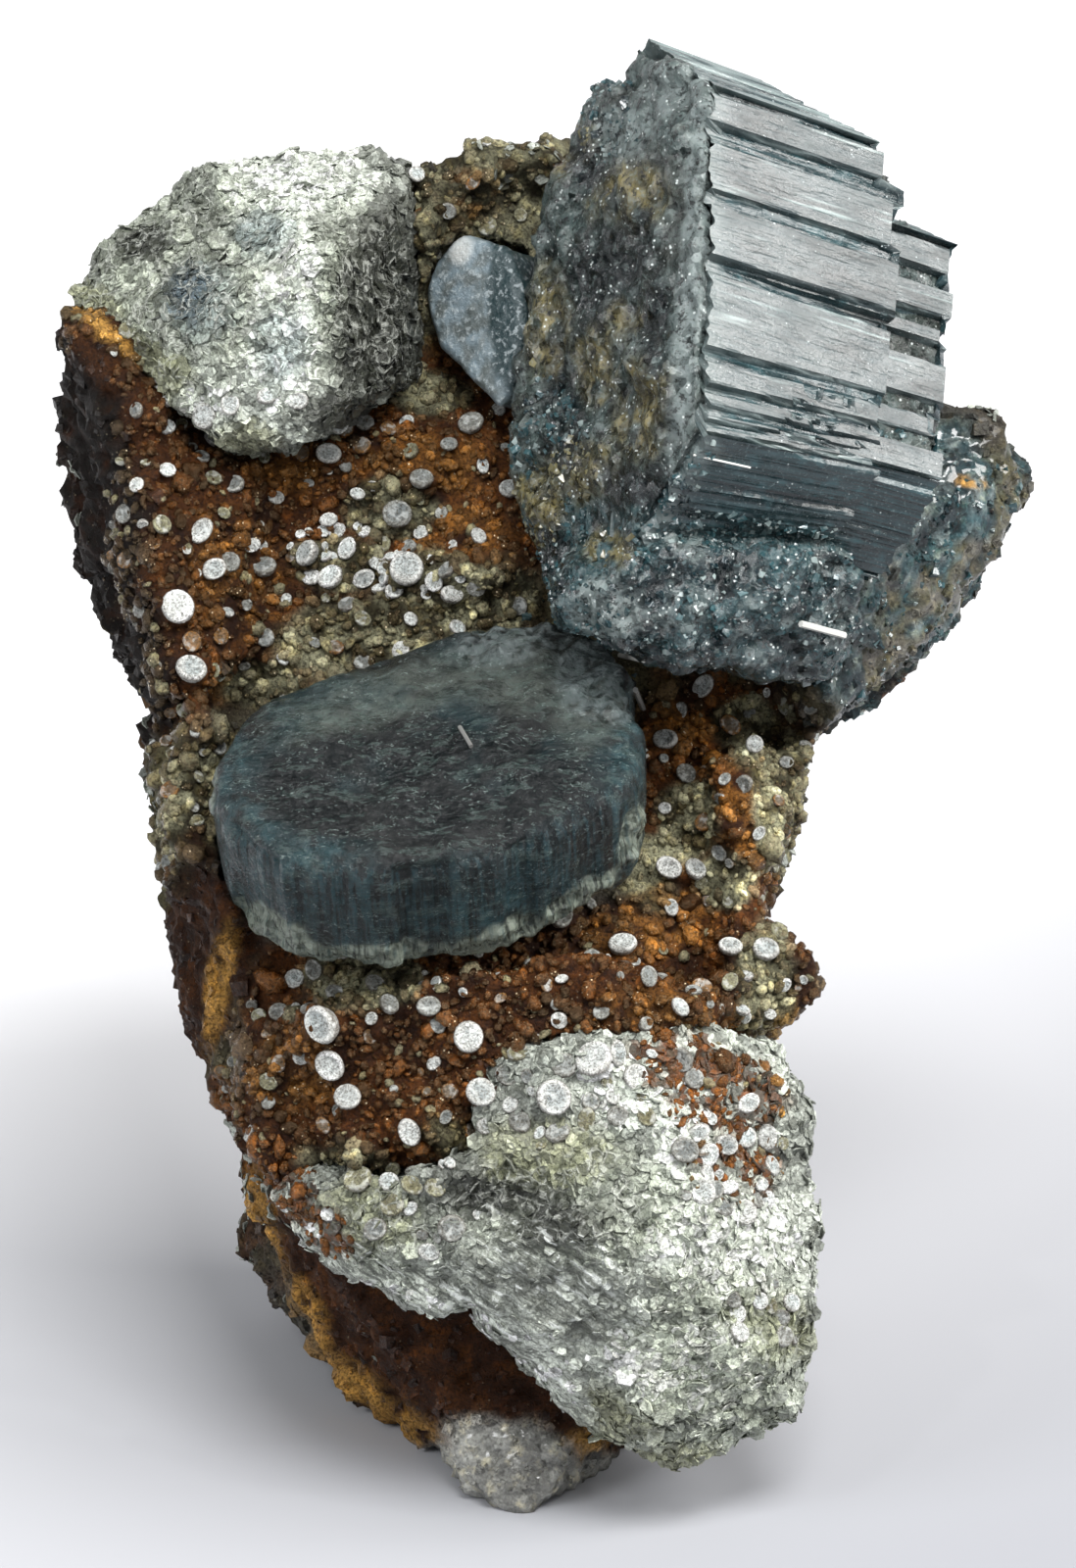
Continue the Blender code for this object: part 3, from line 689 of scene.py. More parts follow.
def plate_depth(down, along, plates, groove, seed):
    """How deep the front face lies at a share of the way down it and a place along it."""
    flat = np.zeros_like(down)
    wave = clouds(np.stack((along * 0 + seed, along, down * 9), 1), 2.2, seed, 2) - 0.5
    place = down + wave * 0.012
    depth = np.full_like(down, groove) * (0.75 + 0.5 * clouds(
        np.stack((down * 40, along * 0.3, flat), 1), 1.0, seed + 3))
    tint = np.zeros_like(down)
    for start, end, level, _ in plates:
        on = ramp(place, start - 0.004, start + 0.004) * ramp(-place, -end - 0.004, -end + 0.004)
        depth = depth * (1 - on) + level * on
        tint = np.maximum(tint, on)
    lines = clouds(np.stack((down * 110, along * 0.12, flat), 1), 1.0, seed + 5, 2)
    depth += (lines - 0.5) * 0.22 * (1 - 0.75 * tint)
    return depth, tint, lines


def prism(name, front, side, near, far, tapers, slope, drop, plates, groove, crest, seed, step=0.13):
    """A striated flattened hexagonal prism with stepped plates down its front face.

    It tapers by the first share above its middle and by the second below, and its top edge
    stands higher than a true hexagon's by crest.
    """
    out = side * math.sin(math.radians(60))
    half, tip = front / 2, front / 2 + side / 2
    corners = np.array((
        (0, tip + crest), (-out, half), (-out, -half), (0, -tip), (out, -half), (out, half),
    ))
    outline, inward, sides, downs = [], [], [], []
    for number, (start, end) in enumerate(zip(corners, np.roll(corners, -1, axis=0))):
        count = int(np.linalg.norm(end - start) / step)
        share = np.arange(count) / count
        outline.append(start + (end - start) * share[:, None])
        inward.append(np.tile(-unit(start + end), (count, 1)))
        sides.append(np.full(count, number))
        downs.append(share)
    outline, inward = np.concatenate(outline), np.concatenate(inward)
    sides, downs = np.concatenate(sides), np.concatenate(downs)
    short = np.zeros(len(outline))
    for start, end, _, stop in plates:
        short = np.where((sides == 1) & (downs >= start) & (downs <= end), stop, short)
    if seed == 1:
        short = np.where(sides == 0, 6.8 - 4.6 * downs, short)
        short = np.where(sides == 5, 6.8 * downs ** 2, short)
        short = np.where((sides == 1) & (downs < 0.02), 2.2, short)
    taper = np.where(outline[:, 1] > 0, *tapers)[:, None]
    flat = np.zeros(len(outline))
    ragged = clouds(np.stack((outline[:, 0], outline[:, 1], flat), 1), 0.7, seed + 11, 2) - 0.5
    ragged *= 1 - 0.9 * ramp(outline[:, 1], tip + crest - 2.5, tip + crest - 0.5)
    rings, tints = [], []
    stations = np.linspace(0, 1, 44)
    for station in stations:
        begin = near - slope * outline[:, 1] + ragged * 1.2
        finish = far - short - ragged * 0.8 * (sides != 1)
        along = begin + (finish - begin) * station
        depth, on, lines = plate_depth(downs, along, plates, groove, seed)
        across = np.stack((outline[:, 1] * 3.1, along * 0.12, outline[:, 0] * 3.1), 1)
        other = (clouds(across, 1.0, seed + 7, 2) - 0.4) * 0.32
        other += ramp(clouds(across, 3.1, seed + 9), 0.58, 0.66) * 0.28
        depth = np.where(sides == 1, depth, other)
        for down, at, radius in ETCH_PITS if seed == 1 else ():
            reach = np.hypot((downs - down) * front, along - at) / radius
            reach += (clouds(np.stack((downs * 60, along * 2.2, flat), 1), 1.0, 40) - 0.5)
            pit = ramp(-reach, -1.05, -0.8) * (sides == 1)
            depth = np.maximum(depth, 0.5 * pit)
            on = on * (1 - pit)
        on = np.where(sides == 1, on, 0.3 * (sides == 0))
        place = outline * (1 + (taper - 1) * station) + inward * depth[:, None]
        rings.append(np.stack((place[:, 0], place[:, 1] - drop, along), 1))
        tints.append(np.stack((on, lines, np.full_like(on, station)), 1))
    rim = outline * taper - (0, drop)
    centre = rim.mean(axis=0)
    for last, level in itertools.product((False, True), (0.95, 0.88, 0.8, 0.7, 0.6, 0.5, 0.4, 0.3, 0.2, 0.1)):
        place = centre + (rim - centre) * level
        rough = clouds(np.stack((place[:, 0], place[:, 1], flat), 1), 1.6, seed + 12, 3) - 0.5
        depth = far - 0.5 - short * level ** 1.5 if last else near + 0.3
        shrunk = np.column_stack((place, depth + rough * 1.4))
        at = len(rings) if last else 0
        rings.insert(at, shrunk)
        tints.insert(at, np.stack((flat, rough + 0.5, flat + 0.85 * last), 1))
    count = len(outline)
    points = np.concatenate(rings)
    faces = []
    around = np.arange(count)
    after = (around + 1) % count
    for ring in range(len(rings) - 1):
        low, high = ring * count, (ring + 1) * count
        faces.append(np.stack((low + around, high + around, high + after, low + after), 1))
    world = points @ LARGE_TURN.T + LARGE_END
    obj = mesh_of(name, world, np.concatenate(faces))
    work = bmesh.new()
    work.from_mesh(obj.data)
    work.verts.ensure_lookup_table()
    for ring in (0, len(rings) - 1):
        loop = [work.verts[ring * count + step] for step in range(count)]
        work.faces.new(loop)
    bmesh.ops.recalc_face_normals(work, faces=work.faces)
    work.to_mesh(obj.data)
    work.free()
    return obj, points, np.concatenate(tints)


def make_prisms():
    """The large crystal's striated prism and its shorter neighbour."""
    shown = colours()
    finish = crystal_finish("striated_apatite")
    for name, args in (
        ("large_prism", (
            LARGE_FRONT + 0.25, LARGE_SIDE + 0.15, 0.9, LARGE_LENGTH + 0.1,
            (LARGE_TOP_TAPER, LARGE_TAPER), LARGE_END_SLOPE, 0, PLATES, GROOVE_DEPTH, LARGE_CREST,
            1,
        )),
        ("neighbour_prism", (
            NEIGHBOUR_FRONT + 0.2, NEIGHBOUR_SIDE + 0.15, 3.0, NEIGHBOUR_LENGTH + 0.1,
            (0.96, 0.96), 0, NEIGHBOUR_DROP, NEIGHBOUR_PLATES, 0.9, 0, 2,
        )),
    ):
        obj, points, marks = prism(name, *args)
        on, lines, station = marks.T
        patches = clouds(points * (1, 1, 0.4), 2.5, 5, 3)
        mottle = clouds(points, 0.8, 6, 2)
        streaks = clouds(points * (1, 1, 0.22), 0.7, 7, 2)
        tint = blend(shown["teal"] * 0.5, shown["teal"] * 1.3, ramp(lines, 0.35, 0.7))
        tint = blend(tint, shown["deep"] * 1.5, ramp(patches, 0.45, 0.7) * 0.7)
        tint = blend(tint, shown["teal"] * 2.4, ramp(mottle, 0.6, 0.75) * 0.6)
        plate = blend(shown["steel"] * 0.55, shown["steel"] * 0.25, ramp(patches, 0.4, 0.7))
        tint = blend(tint, plate, on)
        rim = 4 * on * (1 - on) + ramp(lines, 0.68, 0.8) * on
        tint = blend(tint, shown["ice"] * 2.2, np.clip(rim, 0, 1) * ramp(streaks, 0.35, 0.6) * 0.7)
        # A pale band next to the corroded end: partly a pale translucent rim, partly a painted highlight along it.
        tint = blend(tint, shown["ice"] * 0.8, ramp(-station, -0.14, -0.01) * 0.8)
        paint(obj, "tint", tint, on)
        grain = points * (1, 1, 0.14)
        paint(obj, "grain", grain)
        shade(obj, False)
        dress(obj, finish)


def crystal_finish(name):
    """Glassy blue crystal with fine lines along it and small pits, duller on its plates."""
    finish = Finish(name)
    painted = finish.attribute("tint")
    tint, plate = painted.outputs["Color"], Level(finish, painted.outputs["Alpha"])
    grain = finish.attribute("grain").outputs["Vector"]
    lines = finish.noise(0.35, 3, grain)
    pits = finish.noise(0.22, 4, rough=0.7)
    colour = finish.mix(lines.rise(0.35, 0.7) * 0.4, tint, (0.03, 0.055, 0.062))
    colour = finish.mix(pits.rise(0.56, 0.70) * 0.4, colour, (0.2, 0.25, 0.25))
    # White flecks painted into the colour: partly pale specks of the crystal, partly painted glints.
    flecks = finish.cells(0.4)[0].rise(0.20, 0.08) * finish.noise(1.4, 3).rise(0.54, 0.62)
    colour = finish.mix(flecks * 0.6, colour, (0.55, 0.6, 0.6))
    waves = finish.noise(0.9, 4, finish.vector("MULTIPLY", grain, (1, 1, 3)))
    dull = finish.noise(2.6, 3, finish.vector("MULTIPLY", grain, (1, 1, 4))).rise(0.46, 0.62)
    normal = finish.bump(lines * (0.3 + plate * 0.2) + pits * 0.3 + waves * 0.6, 0.16)
    finish.set(
        Base_Color=colour,
        Roughness=0.12 + pits.rise(0.4, 0.8) * 0.15 + plate * 0.04 + plate * dull * 0.22,
        Normal=finish.facets(0.5, 0.10 - plate * 0.06, normal), IOR=1.63,
    )
    return finish.material


def broken_finish(name):
    """Broken apatite: small glassy facets that glitter, pale flecks that are partly painted glints, and dark pits.
    """
    finish = Finish(name)
    tint = finish.attribute("tint").outputs["Color"]
    fine = finish.noise(0.5, 5, rough=0.68)
    # Pale flecks in the colour: partly the broken stone's own pale specks, partly painted glints.
    flecks = finish.cells(0.46)[0].rise(0.24, 0.12) * finish.noise(1.2, 3).rise(0.46, 0.56)
    colour = finish.mix(fine.rise(0.52, 0.68) * 0.6, tint, (0.14, 0.175, 0.165))
    colour = finish.mix(fine.rise(0.50, 0.36) * 0.9, colour, (0.001, 0.003, 0.003))
    colour = finish.mix(flecks * 0.85, colour, (0.62, 0.67, 0.65))
    finish.set(
        Base_Color=colour, Roughness=0.06 + fine.rise(0.4, 0.8) * 0.25, IOR=1.63,
        Normal=finish.facets(0.6, 0.6, finish.bump(fine, 0.3)),
    )
    return finish.material


# Olive and brown lumps on the corroded end, and dark pits.
END_OLIVE = (
    (648, 215, 16, 26, 10), (610, 370, 26, 40, 0), (655, 385, 24, 22, 0), (640, 320, 20, 16, 0),
    (640, 200, 40, 30, 0), (560, 330, 26, 50, 0), (590, 480, 40, 30, 0), (545, 520, 30, 40, 0),
    (580, 150, 26, 30, 0), (650, 430, 26, 40, 0), (620, 560, 26, 20, 0),
)
END_DARK = (
    (632, 265, 34, 50, 10), (600, 290, 24, 50, 0), (575, 440, 24, 60, 0), (668, 330, 14, 60, 4),
    (650, 500, 34, 30, 0), (600, 170, 22, 26, 0), (560, 560, 30, 30, 0),
)
# Pale patches on the corroded end, and a pale strip along its rim that is partly a painted highlight.
END_PALE_AND_RIM_HIGHLIGHT = ((706, 300, 16, 250, 4), (690, 90, 40, 30, 0), (640, 130, 30, 24, 0), (620, 620, 40, 30, 0))


def make_large_rough():
    """The large crystal's corroded end and the rough part below it."""
    shown = colours()
    piece = copy_of("large_apatite", "corroded_end")
    apply(piece, "REMESH", mode="VOXEL", voxel_size=0.42 * MM)
    points, normals = points_of(piece), normals_of(piece)
    own = (points - LARGE_END) @ LARGE_TURN
    lift = np.clip((own[:, 1] - LARGE_FRONT / 2) / (LARGE_SIDE / 2), 0, 1) * LARGE_CREST
    facing = normals @ LARGE_TURN
    on_prism = ramp(own[:, 2], 0.4, 1.4) * (np.abs(own[:, 1]) < 17)
    out = LARGE_SIDE * math.sin(math.radians(60))
    edge = np.maximum(
        np.abs(own[:, 0]) / out,
        (np.abs(own[:, 1]) + np.abs(own[:, 0]) * 0.5774) / (LARGE_FRONT / 2 + LARGE_SIDE / 2),
    )
    shell = on_prism * ramp(edge, 0.70, 0.80) * ramp(-edge, -1.06, -1.02)
    move_to(piece, points - normals * (shell * 0.55)[:, None] + LARGE_TURN[:, 1] * (lift * 0.5)[:, None])
    rough = 1 - shell
    before = points_of(piece)
    lower = ramp(seen_at(points)[:, 1], 520, 580) * rough
    relief(piece, "CLOUDS", 3.2, 2.2, lower)
    relief(piece, "CLOUDS", 3.6, 2.2, (rough - lower) * ramp(-own[:, 2], -0.6, 0.0))
    relief(piece, "VORONOI", 2.4, 1.3, rough)
    relief(piece, "CLOUDS", 1.2, 0.7, rough)
    relief(piece, "CLOUDS", 0.7, 0.35, rough)
    points = points_of(piece)
    seen = seen_at(points)
    fine, edge = clouds(points, 0.7, 22, 2), clouds(points, 1.6, 23, 2)
    tint = broken_tint(points, 27)
    tint = blend(tint, shown["steel"] * (0.65, 0.6, 0.5), ramp(-seen[:, 1], -540, -460) * 0.45)
    # Painted light and shade: crests raised by the relief are painted pale, and its hollows are painted deep blue.
    height = ((points - before) * normals).sum(axis=1)
    tint = blend(tint, shown["ice"] * 1.5, ramp(height, 0.5, 1.5) * ramp(fine, 0.3, 0.6) * 0.6)
    tint = blend(tint, shown["deep"], ramp(-height, 0.1, 0.9) * 0.85)
    # Pale patches, and the rim's strip, which is partly a painted highlight.
    tint = blend(tint, shown["ice"] * 1.05, within(seen, END_PALE_AND_RIM_HIGHLIGHT, edge) * ramp(fine, 0.2, 0.45))
    stain = within(seen, END_OLIVE, edge, 0.9) * ramp(clouds(points, 1.5, 25, 3), 0.32, 0.48)
    olive = blend(shown["olive"] * 0.6, shown["olive_pale"] * (0.85, 0.72, 0.45), ramp(fine, 0.4, 0.7))
    tint = blend(tint, olive, stain * 0.9)
    tint = blend(tint, shown["deep"], within(seen, END_DARK, edge, 0.9) * ramp(fine, 0.25, 0.4) * 0.95)
    paint(piece, "tint", tint)
    shade(piece)
    dress(piece, broken_finish("corroded_apatite"))
    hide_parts("large_apatite")


def make_chip_pattern():
    """A chip: a small block with six uneven flat sides."""
    bpy.ops.object.select_all(action="DESELECT")
    bpy.ops.mesh.primitive_cube_add(size=1.4)
    chip = bpy.context.object
    bpy.ops.object.mode_set(mode="EDIT")
    bpy.ops.mesh.select_all(action="SELECT")
    bpy.ops.transform.resize(value=(1, 0.8, 0.7))
    bpy.ops.transform.vertex_random(offset=0.35, seed=7)
    bpy.ops.object.mode_set(mode="OBJECT")
    return pattern_from(chip)


# Where broken apatite is strewn with glassy chips.
CHIPS = (
    (700, 600, 150, 70, 0), (600, 620, 60, 50, 0), (560, 480, 40, 100, 0), (930, 590, 130, 160, 0),
    (870, 620, 30, 90, 10), (600, 690, 50, 30, 0), (620, 120, 30, 50, 0),
)
PRISM_CHIPS = (
    (690, 500, 60, 18, 122), (760, 545, 110, 20, 5), (885, 566, 44, 20, 20), (700, 540, 40, 24, 0),
)


def make_chips():
    """Glassy chips on the broken parts of the large crystal and on the shoulder."""
    pick = np.random.default_rng(12)
    shown = colours()

    found = [
        spread(
            bpy.data.objects[name], count, pick,
            lambda points, normals, ovals=ovals: within(
                seen_at(points), ovals, np.full(len(points), 0.5)) * (normals[:, 2] > -0.3),
        )
        for name, count, ovals in (
            ("corroded_end", 2300, CHIPS), ("rock", 800, CHIPS), ("large_prism", 700, PRISM_CHIPS),
        )
    ]
    places, normals = (np.concatenate(parts) for parts in zip(*found))
    radius = np.minimum(pick.lognormal(math.log(0.21), 0.45, len(places)), 0.45)
    tilt = unit(normals + pick.normal(size=normals.shape) * 0.6)
    scales = np.stack((radius, radius * pick.uniform(0.6, 1.4, len(radius)), radius), 1)
    tints = broken_tint(places, 27) * pick.uniform(0.7, 1.5, (len(places), 1))
    pale = pick.random(len(places)) < 0.06
    tints[pale] = shown["ice"] * 1.8
    stained = within(seen_at(places), END_OLIVE, np.full(len(places), 0.5)) > pick.random(len(places))
    tints[stained] = shown["olive"] * pick.uniform(0.5, 1.6, (stained.sum(), 1))
    chips = copies(
        "apatite_chips", make_chip_pattern(), places - normals * (radius * 0.3)[:, None],
        turned_to(tilt, scales, pick),
        np.clip(tints, 0, 0.9),
    )
    shade(chips, False)
    finish = Finish("glassy_chips")
    fine = finish.noise(0.25, 3)
    colour = finish.mix(
        fine.rise(0.5, 0.7) * 0.4, finish.attribute("tint").outputs["Color"], (0.2, 0.24, 0.23),
    )
    finish.set(Base_Color=colour, Roughness=0.05 + fine * 0.15, Normal=finish.bump(fine, 0.05), IOR=1.63)
    dress(chips, finish.material)


MIDDLE_AXIS = unit(np.array((-0.05, 0.70, 0.71)))
MIDDLE_DARK = (
    (350, 760, 60, 26, -20), (300, 800, 40, 30, 0), (440, 775, 60, 26, -16), (520, 770, 40, 26, 0),
    (450, 830, 60, 28, 0), (560, 820, 60, 50, -60), (330, 840, 40, 20, 0), (400, 900, 80, 20, 0),
)
MIDDLE_BRIGHT = (
    (640, 770, 16, 90, 0), (250, 860, 34, 60, -14), (330, 900, 70, 40, 12), (480, 930, 60, 24, -14),
    (620, 690, 40, 40, 0), (230, 770, 22, 40, 0),
)
MIDDLE_PALE = ((430, 700, 150, 26, -16), (540, 690, 60, 40, 0), (600, 720, 40, 40, 0))
MIDDLE_LIP = (
    (290, 950, 50, 14, 30), (380, 972, 60, 12, 0), (490, 962, 70, 14, -20), (590, 915, 50, 14, -35),
    (640, 850, 10, 30, 10), (216, 800, 8, 60, 0),
)


def make_middle_crystal():
    shown = colours()
    piece = copy_of("middle_apatite", "middle_crystal")
    apply(piece, "REMESH", mode="VOXEL", voxel_size=0.26 * MM)
    apply(piece, "SMOOTH", iterations=60, factor=0.7)
    points, normals = points_of(piece), normals_of(piece)
    rise = normals @ MIDDLE_AXIS
    flank = ramp(-np.abs(rise), -0.85, -0.35)
    across = unit(np.cross(MIDDLE_AXIS, (0, 0, 1)))
    beside = np.cross(MIDDLE_AXIS, across)
    plan = np.stack((points @ across, points @ beside, points @ MIDDLE_AXIS * 0.08), 1)
    lines = clouds(plan, 0.55, 31, 2)
    steps = ramp(clouds(plan, 2.6, 32), 0.5, 0.58)
    top = clouds(points, 2.6, 33, 3)
    shift = flank * ((lines - 0.5) * 0.4 - steps * 0.45) + (1 - flank) * (top - 0.5) * 1.3 + 0.3
    lip = within(seen_at(points), MIDDLE_LIP, clouds(points, 1.0, 34, 2))
    shift += lip * (clouds(points, 0.9, 35, 2) - 0.5) * 1.1
    corner = within(seen_at(points), ((610, 680, 50, 50, 0), (520, 660, 60, 24, -10)), top)
    shift += corner * (clouds(points, 1.1, 39, 2) - 0.5) * 1.2
    move_to(piece, points + normals * shift[:, None])
    points = points_of(piece)
    seen = seen_at(points)
    edge, fine = clouds(points, 1.8, 36, 2), clouds(points, 0.6, 37, 2)
    streaks = ramp(clouds(plan, 0.8, 30, 2), 0.45, 0.65)
    tint = blend(shown["steel"] * 0.05, shown["teal"] * 0.55, ramp(clouds(points, 3, 38, 3), 0.4, 0.65))
    tint = blend(tint, shown["deep"] * 0.4, within(seen, MIDDLE_DARK, edge, 0.8))
    tint = blend(tint, shown["teal"] * 1.2, flank * streaks * 0.6)
    pale = within(seen, MIDDLE_PALE, edge, 0.9)
    tint = blend(tint, shown["steel"] * (0.7, 0.7, 0.6), pale * (0.2 + 0.35 * ramp(fine, 0.2, 0.8)))
    bright = within(seen, MIDDLE_BRIGHT, edge, 0.8) * ramp(fine, 0.35, 0.65)
    tint = blend(tint, shown["teal"] * 2.4, bright * 0.4)
    tint = blend(tint, shown["steel"] * 0.8, corner * ramp(fine, 0.3, 0.6) * 0.8)
    tint = blend(tint, shown["ice"] * (1.5, 1.4, 1.15), lip * 0.8)
    paint(piece, "tint", tint, np.maximum(corner, lip))
    paint(piece, "grain", plan, flank)
    shade(piece)
    finish = Finish("scratched_apatite")
    painted = finish.attribute("tint")
    tint, rough = painted.outputs["Color"], Level(finish, painted.outputs["Alpha"])
    laid = finish.attribute("grain")
    grain, flank = laid.outputs["Vector"], Level(finish, laid.outputs["Alpha"])
    drawn = finish.vector("MULTIPLY", finish.place, (0.4, 1, 1))
    lines = finish.noise(0.3, 3, grain)
    fine = finish.noise(0.3, 5, rough=0.7)
    scratch = finish.noise(1.0, 6, drawn, 0.75)
    hair = finish.noise(1.8, 4, drawn, 0.65)
    # Pale scratches and flecks in the colour: partly the crystal's own scratches, partly painted glints.
    flecks = scratch.rise(0.52, 0.60) * scratch.rise(0.68, 0.60)
    hairs_and_glints = hair.rise(0.50, 0.51) * hair.rise(0.52, 0.51)
    colour = finish.mix(lines.rise(0.5, 0.7) * flank * 0.6, tint, (0.015, 0.045, 0.055))
    colour = finish.mix(lines.rise(0.5, 0.36) * flank * 0.8, colour, (0.001, 0.003, 0.004))
    colour = finish.mix(flecks * 0.35, colour, (0.07, 0.10, 0.09))
    colour = finish.mix(hairs_and_glints * fine.rise(0.48, 0.60) * 0.5, colour, (0.26, 0.32, 0.30))
    colour = finish.mix(fine.rise(0.60, 0.70) * 0.35, colour, (0.10, 0.135, 0.12))
    colour = finish.mix(scratch.rise(0.46, 0.34) * 0.6, colour, (0.003, 0.006, 0.006))
    height = fine * 0.5 + scratch * 0.5 + lines * 0.5
    finish.set(
        Base_Color=colour, Roughness=0.08 + fine.rise(0.4, 0.8) * 0.25, IOR=1.63,
        Specular_IOR_Level=0.24,
        Normal=finish.facets(0.4, rough * 0.3 + 0.22, finish.bump(height, 0.4)),
    )
    dress(piece, finish.material)
    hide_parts("middle_apatite")


def make_small_crystal():
    shown = colours()
    piece = copy_of("small_apatite", "small_crystal")
    apply(piece, "REMESH", mode="VOXEL", voxel_size=0.2 * MM)
    apply(piece, "SMOOTH", iterations=3, factor=0.5)
    relief(piece, "CLOUDS", 1.6, 0.3)
    relief(piece, "VORONOI", 1.4, 0.2)
    points = points_of(piece)
    seen = seen_at(points)
    edge, fine = clouds(points, 1.8, 41, 2), clouds(points, 0.8, 42, 3)
    tint = blend(shown["ice"] * 0.6, shown["ice"] * (1.2, 1.3, 1.5), ramp(fine, 0.3, 0.7))
    tint = blend(tint, shown["teal"], within(seen, ((525, 300, 26, 90, 0),), edge))
    # A painted highlight: a small white spot on the crystal's left.
    tint = blend(tint, shown["pearl"], within(seen, ((470, 255, 12, 16, 0),), edge, 0.8) * 0.5)
    paint(piece, "tint", tint)
    shade(piece)
    finish = Finish("pale_apatite")
    fine = finish.noise(0.4, 5, rough=0.65)
    tint = finish.attribute("tint").outputs["Color"]
    colour = finish.mix(fine.rise(0.54, 0.62) * 0.5, tint, (0.42, 0.47, 0.48))
    finish.set(
        Base_Color=colour, Roughness=0.2 + fine * 0.3, IOR=1.63,
        Normal=finish.facets(0.7, 0.1, finish.bump(fine, 0.2)),
    )
    dress(piece, finish.material)
    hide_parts("small_apatite")


def rock_finish(name, rough, shine, glitter, grain=0.2, glow=(1, 1, 1), painted_glint=0.15):
    """Broken rock in its own painted tint, with fine grain, small glittering facets and tiny painted glints."""
    finish = Finish(name)
    painted = finish.attribute("tint")
    tint, gloss = painted.outputs["Color"], Level(finish, painted.outputs["Alpha"])
    fine = finish.noise(grain, 5, rough=0.7)
    blotch = finish.noise(0.9, 4)
    colour = finish.mix(fine.rise(0.60, 0.35) * (0.8 - gloss * 0.5), tint, (0.006, 0.002, 0.001))
    colour = finish.mix(blotch.rise(0.5, 0.72) * 0.6, colour, (2.3, 2.1, 1.6), "MULTIPLY")
    colour = finish.mix(fine.rise(0.58, 0.72) * gloss * 0.6, colour, (0.42, 0.44, 0.42))
    # Tiny pale dots painted into the colour stand in for glints: painted glints.
    painted_glints = finish.cells(0.34)[0].rise(0.22, 0.12) * finish.noise(0.8, 3).rise(0.52, 0.62)
    colour = finish.mix(painted_glints * painted_glint, colour, (0.85, 0.72, 0.50))
    relief = finish.bump(fine * 0.6 + blotch * 0.4, 0.4)
    finish.set(
        Base_Color=colour, Roughness=rough + fine * 0.25 - gloss * (rough * 0.5),
        Specular_IOR_Level=shine, Specular_Tint=glow, Coat_Weight=gloss, Coat_Roughness=0.12,
        Normal=finish.facets(0.3, glitter + gloss * 0.3, relief),
    )
    return finish.material


def make_rock():
    """The matrix, with the relief that each of its regions has."""
    piece = copy_of("matrix", "rock")
    apply(piece, "REMESH", mode="VOXEL", voxel_size=sizes().rock_grain)
    before = points = points_of(piece)
    seen = seen_at(points)
    edge = np.full(len(seen), 0.5)
    ragged = within(seen, DARK_SHADED_FLANK + SHOULDER + BACK_SLAB + BACK_FLANK, edge)
    known = within(seen, RUST + OLIVE + CROWN + RIDGE, edge)
    hidden = np.maximum(ramp(-points[:, 2], 14, 22), (1 - known) * (1 - ragged))
    normals = normals_of(piece)
    relief(piece, "CLOUDS", 8, 3.4, hidden)
    relief(piece, "VORONOI", 4.5, 1.8, hidden)
    relief(piece, "CLOUDS", 2.0, 1.4, hidden)
    relief(piece, "CLOUDS", 4.0, 2.4, within(seen, DARK_SHADED_FLANK, edge))
    relief(piece, "CLOUDS", 2.4, 1.6, ragged)
    relief(piece, "VORONOI", 1.9, 1.2, np.maximum(within(seen, RUST + OLIVE + CROWN, edge), 0.45))
    relief(piece, "CLOUDS", 0.9, 0.8)
    relief(piece, "CLOUDS", 0.7, 0.8, ragged)
    low, high = (np.array(corner) for corner in CAD_BOX)
    points = from_face(points_of(piece))
    points = np.clip(points, low - (0.8 * MM, 0.8 * MM, 0), high + 0.8 * MM)
    rise = to_face(points) - before
    points = to_face(points)
    move_to(piece, points)
    # Painted shade and light: the colour is darkened where the relief sank into hollows and lightened where it rose
    # into crests.
    height = (rise * normals).sum(axis=1)
    deep = 0.4 + 0.6 * ramp(height, -0.9, 0.2) + 0.35 * ramp(height, 0.6, 1.8)
    gloss = within(seen_at(points), SHOULDER + FOOT, edge) * ramp(points[:, 2], -24, -14) * 0.9
    paint(piece, "tint", np.clip(rock_tint(points) * deep[:, None], 0, 0.9), gloss)
    shade(piece)
    dress(piece, rock_finish("rusty_rock", 0.45, 0.14, 0.2))
    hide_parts("matrix")
    return piece


def make_bead_pattern():
    """A bead: a small ball, a little flattened and uneven."""
    bpy.ops.object.select_all(action="DESELECT")
    bpy.ops.mesh.primitive_uv_sphere_add(segments=8, ring_count=5, radius=1)
    ball = bpy.context.object
    bpy.ops.object.mode_set(mode="EDIT")
    bpy.ops.mesh.select_all(action="SELECT")
    bpy.ops.transform.resize(value=(1, 0.9, 0.95))
    bpy.ops.transform.vertex_random(offset=0.24, seed=3)
    bpy.ops.object.mode_set(mode="OBJECT")
    return pattern_from(ball)


# The druse is made in three parts: from where down to where each reaches in the front view.
DRUSE_PARTS = (("hollow", 0, 740), ("middle", 740, 1060), ("belly", 1060, 1600))


def druse_share(points, normals):
    """How densely the druse grows at points of the rock."""
    seen = seen_at(points)
    edge = np.full(len(seen), 0.5)
    mask = within(seen, RUST + OLIVE + RIDGE, edge) + 0.6 * within(seen, CROWN, edge)
    mask = mask * (1 - within(seen, BARE, edge))
    return mask * ramp(points[:, 2], -20, -12) * ramp(normals[:, 2], -0.5, 0.1)


